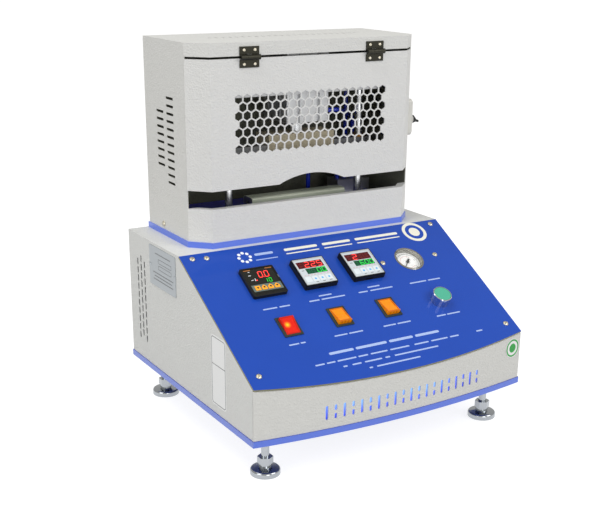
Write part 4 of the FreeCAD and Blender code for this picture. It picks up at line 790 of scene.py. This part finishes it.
def controller_details(name, column, value, target):
    """Pale foil, two display windows, digits, marks and four flush keys of a controller."""
    value_row, target_row = 11.85, 0.4
    key_row, key_pitch = -13.2, 10

    def spot(x, y, sink):
        return panel_place(column + x, INSTRUMENT_ROW + y, CONTROLLER_FRONT - sink)

    def lay(piece, suffix, finish, place):
        keep(piece, name + suffix, finish, place=place)

    lay(outline_plate(46.8, 46.8, 1.66, 1.2, 1.1), "_dark_edge", BLACK_ABS, spot(0, 0, 1.59))
    lay(plate(41.4, 41.4, 0.12, 0.8), "_foil", FOIL, spot(0, 0, 0.38))
    lay(plate(37.6, 11.4, 0.15, 0.4), "_value_glass", RED_GLASS, spot(-0.7, value_row, 0.25))
    lay(plate(29.5, 9.2, 0.15, 0.3), "_target_glass", GREEN_GLASS, spot(3.2, target_row, 0.25))
    place = spot(13, value_row, 0.09)
    digits(name + "_value", value, place, 6.0, 8.8, 9.2, RED_LIT, RED_GHOST)
    place = spot(14.6, target_row, 0.09)
    digits(name + "_target", target, place, 5.0, 7.0, 7.4, GREEN_LIT, GREEN_GHOST)
    dash_spots = [((number - 3.5) * 4.8, -6.3) for number in range(8)]
    dashes = copies(plate(2.8, 0.5, 0.06, 0.2), dash_spots)
    lay(joined(dashes), "_marks", PRINT_RED, spot(0, 0, 0.26))
    key_spots = [((number - 1.5) * key_pitch, key_row) for number in range(4)]
    lay(joined(copies(plate(8.2, 8.6, 0.12, 1.1), key_spots)), "_keys", KEY_ABS, spot(0, 0, 0.3))
    dots = copies(disc(1.5, 0.12, 0.05, 16), key_spots[1:])
    lay(joined(dots), "_key_dots", BLUE_DOT, spot(0, 0, 0.22))
    mark_spots = [(x, -18.9) for x, y in key_spots[1:]] + [(-15.8, 2.4)]
    marks = copies(plate(3.8, 1.0, 0.06, 0.3), mark_spots)
    lay(joined(marks), "_key_marks", GREY_PRINT_AND_GLINT, spot(0, 0, 0.26))


def rocker_details(name, column, raised, rim, ribs):
    """Raised rim round a rocker's face, and grip ribs on the wall of its raised lower end."""
    pivot_sink, tilt, face_lift = 1, 10, 4.25
    turn = Matrix.Rotation(math.radians(tilt) * raised, 4, "X")
    place = panel_place(column, ROCKER_ROW, -pivot_sink) @ turn
    border = outline_plate(18.4, 24.6, 0.9, 1.0, 1.5)
    face = place @ Matrix.Translation((0, 0, face_lift * MM))
    keep(border, name + "_rim", rim, name + "_body", face)
    if not ribs:
        return
    wall = Matrix.Translation((0, -12.35 * MM, 2.6 * MM)) @ Matrix.Rotation(math.pi / 2, 4, "X")
    bars = copies(plate(1.5, 2.6, 0.35, 0.5), [((number - 1) * 4.6, 0) for number in range(3)])
    keep(joined(bars), name + "_ribs", AMBER_SHADED_EDGE, name + "_body", place @ wall)


# The gauge's dial


def gauge_details():
    """Scale arcs, ticks and plain numbers on the dial, and the brass stop pin."""
    dial = panel_place(RIGHT_COLUMN, INSTRUMENT_ROW, DIAL)
    right_end, left_end = math.radians(-45), math.radians(225)
    sweep = math.radians(270)
    steps, per_long, thin = 50, 5, 0.05
    outer = arc_band(14.6, 0.5, thin, right_end, sweep)
    keep(outer, "gauge_outer_scale", GREY_PRINT_AND_GLINT, place=dial)
    inner = arc_band(10.6, 0.45, thin, right_end, sweep)
    keep(inner, "gauge_inner_scale", PRINT_RED, place=dial)
    ticks = []
    fine = plate(1.2, 0.25, thin, 0.1)
    long = plate(2.2, 0.4, thin, 0.15)
    for number in range(steps + 1):
        source, radius = (long, 15.9) if number % per_long == 0 else (fine, 15.4)
        angle = right_end + sweep * number / steps
        ticks.append(copied(source, radius * math.cos(angle), radius * math.sin(angle), angle))
    discard(fine)
    discard(long)
    keep(joined(ticks), "gauge_ticks", GREY_PRINT_AND_GLINT, place=dial)
    numbers = []
    last, radius = 5, 12.6
    for number in range(last + 1):
        angle = left_end - sweep * number / last
        figure = numeral(str(number * 2), 2.6, thin)
        numbers += copies(figure, [(radius * math.cos(angle), radius * math.sin(angle))])
    keep(joined(numbers), "gauge_numbers", PRINT_BLACK, place=dial)
    stop = panel_place(RIGHT_COLUMN + 3.5, INSTRUMENT_ROW - 15.4, DIAL)
    keep(disc(1.0, 0.4, 0.1), "gauge_stop_pin", BRASS, place=stop)


# Print on the panel, and the plates on the case


def word_bars(row, spans, tall):
    """Plain printed bars on one row, each from one column to another."""
    bars = []
    for start, stop in spans:
        bar = plate(stop - start, tall, PRINT_THICK, tall * 0.45)
        bars += copies(bar, [((start + stop) / 2, row)])
    return bars


PRINT_THICK = 0.04

# Rows of printed bars: each row, and its bars from one column to another.
CAPTION_BARS = (
    (111.5, ((-133, -113), (-110, -95), (-67, -52), (-49, -14), (7, 21), (25, 60))),
    (111.5, ((88, 115), (118, 138))),
    (117.5, ((-50, -31), (24, 43))),
    (51, ((-127, -113), (-111, -104), (-63, -44), (-41.5, -21), (10, 29), (31.5, 52))),
    (50, ((93, 108), (110, 131))),
)
FOOT_BARS = (
    (14, ((-110, -97), (-94, -82), (-79, -52), (-49, -35), (-31, -6), (-2, 27))),
    (14, ((35, 57), (61, 87), (91, 105), (134, 144))),
    (4.3, ((-76, -70), (-63, -50), (-45, -20), (-15, -8), (-1, 66))),
    (-5.5, ((-44, -39), (-33, 32))),
)


def panel_rules():
    """Plain printed bars, rings and dots on the panel."""
    sheet = panel_place(0, 0, PRINT)
    bars = []
    for row, spans in CAPTION_BARS:
        bars += word_bars(row, spans, 2.0)
    for row, spans in FOOT_BARS:
        bars += word_bars(row, spans, 2.1)
    bars += word_bars(26.7, ((-84, -49), (-45.5, 0), (4, 40), (44, 81)), 3.8)
    keep(joined(bars), "panel_rules", PRINT_PALE, place=sheet)
    spans = ((-57, -7), (1, 45), (53, 123))
    heading = word_bars(203.6, spans, 4.4) + word_bars(196.4, spans, 1.8)
    keep(joined(heading), "heading_rules", PRINT_CREAM, place=sheet)
    rings = joined([ring(18.3, 4.6, PRINT_THICK, 64), disc(8.2, PRINT_THICK, 0.01, 48)])
    keep(rings, "emblem_rings", PRINT_CREAM, place=panel_place(151, 201, PRINT))
    marks = word_bars(203, ((-101, -74),), 4.0) + word_bars(193.5, ((-103, -71),), 1.4)
    keep(joined(marks), "corner_rules", PRINT_PALE, place=sheet)
    count, radius = 8, 8
    angles = [number * 2 * math.pi / count for number in range(count)]
    spots = [(radius * math.cos(angle), radius * math.sin(angle)) for angle in angles]
    dots = copies(disc(2.3, PRINT_THICK, 0.01, 20), spots)
    keep(joined(dots), "corner_dots", PRINT_WHITE, place=panel_place(-116, 201, PRINT))


def side_label():
    """Blank label with a thin printed border low on the left side."""
    run, rise, thick = 86, 55.5, 0.15
    sheet = plate(38.5, 90, thick, 5.5)
    keep(sheet, "side_label", LABEL_WHITE, place=left_place(run, rise, PRINT))
    border = outline_plate(35.4, 86.4, 0.05, 4.2, 0.9)
    divider = copies(plate(35, 0.9, 0.05, 0.3), [(0, 8)])
    place = left_place(run, rise, PRINT + thick)
    keep(joined([border, *divider]), "side_label_border", GREY_PRINT_AND_GLINT, place=place)


def rating_plate_details():
    """Two blank writing fields and plain ruled lines on the metal plate."""
    place = left_place(240, 143.5, 0.82)
    thick = 0.06
    fields = copies(outline_plate(40, 6, thick, 2, 0.7), [(8, 9), (8, 0.5)])
    for row, long in ((-8, 62), (-12.5, 54), (-17, 60), (18, 46)):
        fields += copies(plate(long, 1.3, thick, 0.4), [(2, row)])
    keep(joined(fields), "rating_plate_lines", GREY_PRINT_AND_GLINT, place=place)


def round_sticker():
    """Green ring sticker near the right end of the apron, laid to the bow."""
    x = 185
    y = CORNER_Y - FRONT_BOW + BOW_RADIUS - math.sqrt(BOW_RADIUS ** 2 - x ** 2)
    tilt = math.asin(x / BOW_RADIUS)
    spot = Matrix.Translation(Vector((x, y - 0.12, BASE_TOP + 44)) * MM)
    place = spot @ Matrix.Rotation(tilt, 4, "Z") @ Matrix.Rotation(math.pi / 2, 4, "X")
    keep(disc(12.8, 0.06, 0.02, 48), "sticker_base", LABEL_WHITE, place=place)
    rings = joined([ring(12, 2.2, 0.12, 56), disc(6.2, 0.12, 0.03, 32)])
    keep(rings, "sticker_rings", PRINT_GREEN, place=place)


# Levelling feet


def foot_threads():
    """Rolled thread ridges on each stud, at the pitch of an M10 screw."""
    count, pitch, lowest = 20, 1.5, 23.6
    for name in ("front_left_foot", "front_right_foot", "back_left_foot", "back_right_foot"):
        low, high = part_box(name)
        x, y = (low.x + high.x) / 2 / MM, (low.y + high.y) / 2 / MM
        start_clean()
        bpy.ops.mesh.primitive_torus_add(
            major_segments=28, minor_segments=6, major_radius=4.7 * MM, minor_radius=0.34 * MM
        )
        ridge = bpy.context.object
        bpy.ops.transform.resize(value=(1, 1, 1.3))
        bpy.ops.object.transform_apply(scale=True)
        ridges = copies(ridge, [(x, y)] * count)
        for number, turn in enumerate(ridges):
            turn.data.transform(Matrix.Translation((0, 0, (lowest + number * pitch) * MM)))
        thread = keep(joined(ridges), name + "_thread", FOOT_CHROME, name + "_body")
        for face in thread.data.polygons:
            face.use_smooth = True


# Stage, light and camera


# Each soft light's name, place in metres, side and power.
SOFT_LIGHTS = (
    ("front_right_softbox", (1.3, -1.9, 1.7), 1.4, 24),
    ("top_softbox", (-0.9, 0.1, 2.4), 1.4, 20),
    ("left_softbox", (-2.2, -0.6, 0.9), 1.2, 11),
    ("low_front_fill", (-0.5, -2.3, 0.55), 0.9, 10),
)
WHITE = (1, 1, 1, 1)


def stage():
    """Pale studio floor under plain soft light."""
    start_clean()
    bpy.ops.mesh.primitive_plane_add(size=60)
    floor = bpy.context.object
    floor.name = "studio_floor"
    looks = {"specular_ior_level": 0.1, "emission_color": WHITE}
    made, tree, shader = material("studio_floor_paper", "#A2A2A2", 0.9, **looks)[:3]
    rays = add(tree, "ShaderNodeLightPath")
    seen = maths(tree, "ADD", rays.outputs["Is Camera Ray"], rays.outputs["Is Glossy Ray"])
    lift = 0.84
    glow = maths(tree, "MULTIPLY", seen, lift)
    tree.links.new(glow, shader.inputs["Emission Strength"])
    floor.data.materials.append(made)
    world = bpy.data.worlds.new("studio")
    world.use_nodes = True
    bpy.context.scene.world = world
    tree = world.node_tree
    rays = add(tree, "ShaderNodeLightPath")
    soft = tree.nodes["Background"]
    soft.inputs["Color"].default_value = (1.0, 0.99, 0.96, 1)
    soft.inputs["Strength"].default_value = 0.56
    white = add(tree, "ShaderNodeBackground", {"Color": WHITE, "Strength": 1.0})
    ways = {0: rays.outputs["Is Camera Ray"], 1: soft.outputs[0], 2: white.outputs[0]}
    mix = add(tree, "ShaderNodeMixShader", ways)
    tree.links.new(mix.outputs[0], tree.nodes["World Output"].inputs["Surface"])
    target = Vector((0, 0, 0.25))
    for name, spot, size, power in SOFT_LIGHTS:
        light = bpy.data.lights.new(name, "AREA")
        light.energy = power
        light.size = size
        lamp = bpy.data.objects.new(name, light)
        bpy.context.scene.collection.objects.link(lamp)
        turn = (target - Vector(spot)).to_track_quat("-Z", "Y").to_matrix().to_4x4()
        lamp.matrix_world = Matrix.Translation(spot) @ turn


def camera():
    """The photograph's camera, found from the console's and the tower's corners."""
    yaw, pitch, roll = 0.550, 0.339, 0.010
    spot = Vector((-736.3, CORNER_Y - 982.8, BASE_TOP + 535.5)) * MM
    flat = math.cos(pitch)
    ahead = Vector((math.sin(yaw) * flat, math.cos(yaw) * flat, -math.sin(pitch)))
    level = Vector((math.cos(yaw), -math.sin(yaw), 0))
    up = level.cross(ahead)
    across = level * math.cos(roll) + up * math.sin(roll)
    upward = up * math.cos(roll) - level * math.sin(roll)
    wide, tall, sensor = 600, 507, 36
    focal, centre_x, centre_y = 1073.98, 304.02, 326.48
    view = bpy.data.cameras.new("photo_camera")
    view.sensor_width = sensor
    view.lens = focal / wide * sensor
    view.shift_x = (wide / 2 - centre_x) / wide
    view.shift_y = (centre_y - tall / 2) / wide
    view.clip_end = 100
    shot = bpy.data.objects.new("photo_camera", view)
    bpy.context.scene.collection.objects.link(shot)
    columns = Matrix((across, upward, -ahead)).transposed().to_4x4()
    shot.matrix_world = Matrix.Translation(spot) @ columns
    bpy.context.scene.camera = shot


dress_nodes()
timer_details()
controller_details("upper_controller", UPPER_COLUMN, " 225", "  00")
controller_details("lower_controller", LOWER_COLUMN, " 2  ", " 600")
rocker_details("mains_rocker", TIMER_COLUMN, 1, RED_EDGE, False)
rocker_details("upper_heater_rocker", UPPER_COLUMN, -1, AMBER_SHADED_EDGE, True)
rocker_details("lower_heater_rocker", LOWER_COLUMN, -1, AMBER_SHADED_EDGE, True)
gauge_details()
panel_rules()
side_label()
rating_plate_details()
round_sticker()
foot_threads()
stage()
camera()
bpy.context.scene.view_settings.view_transform = "Standard"
start_clean()
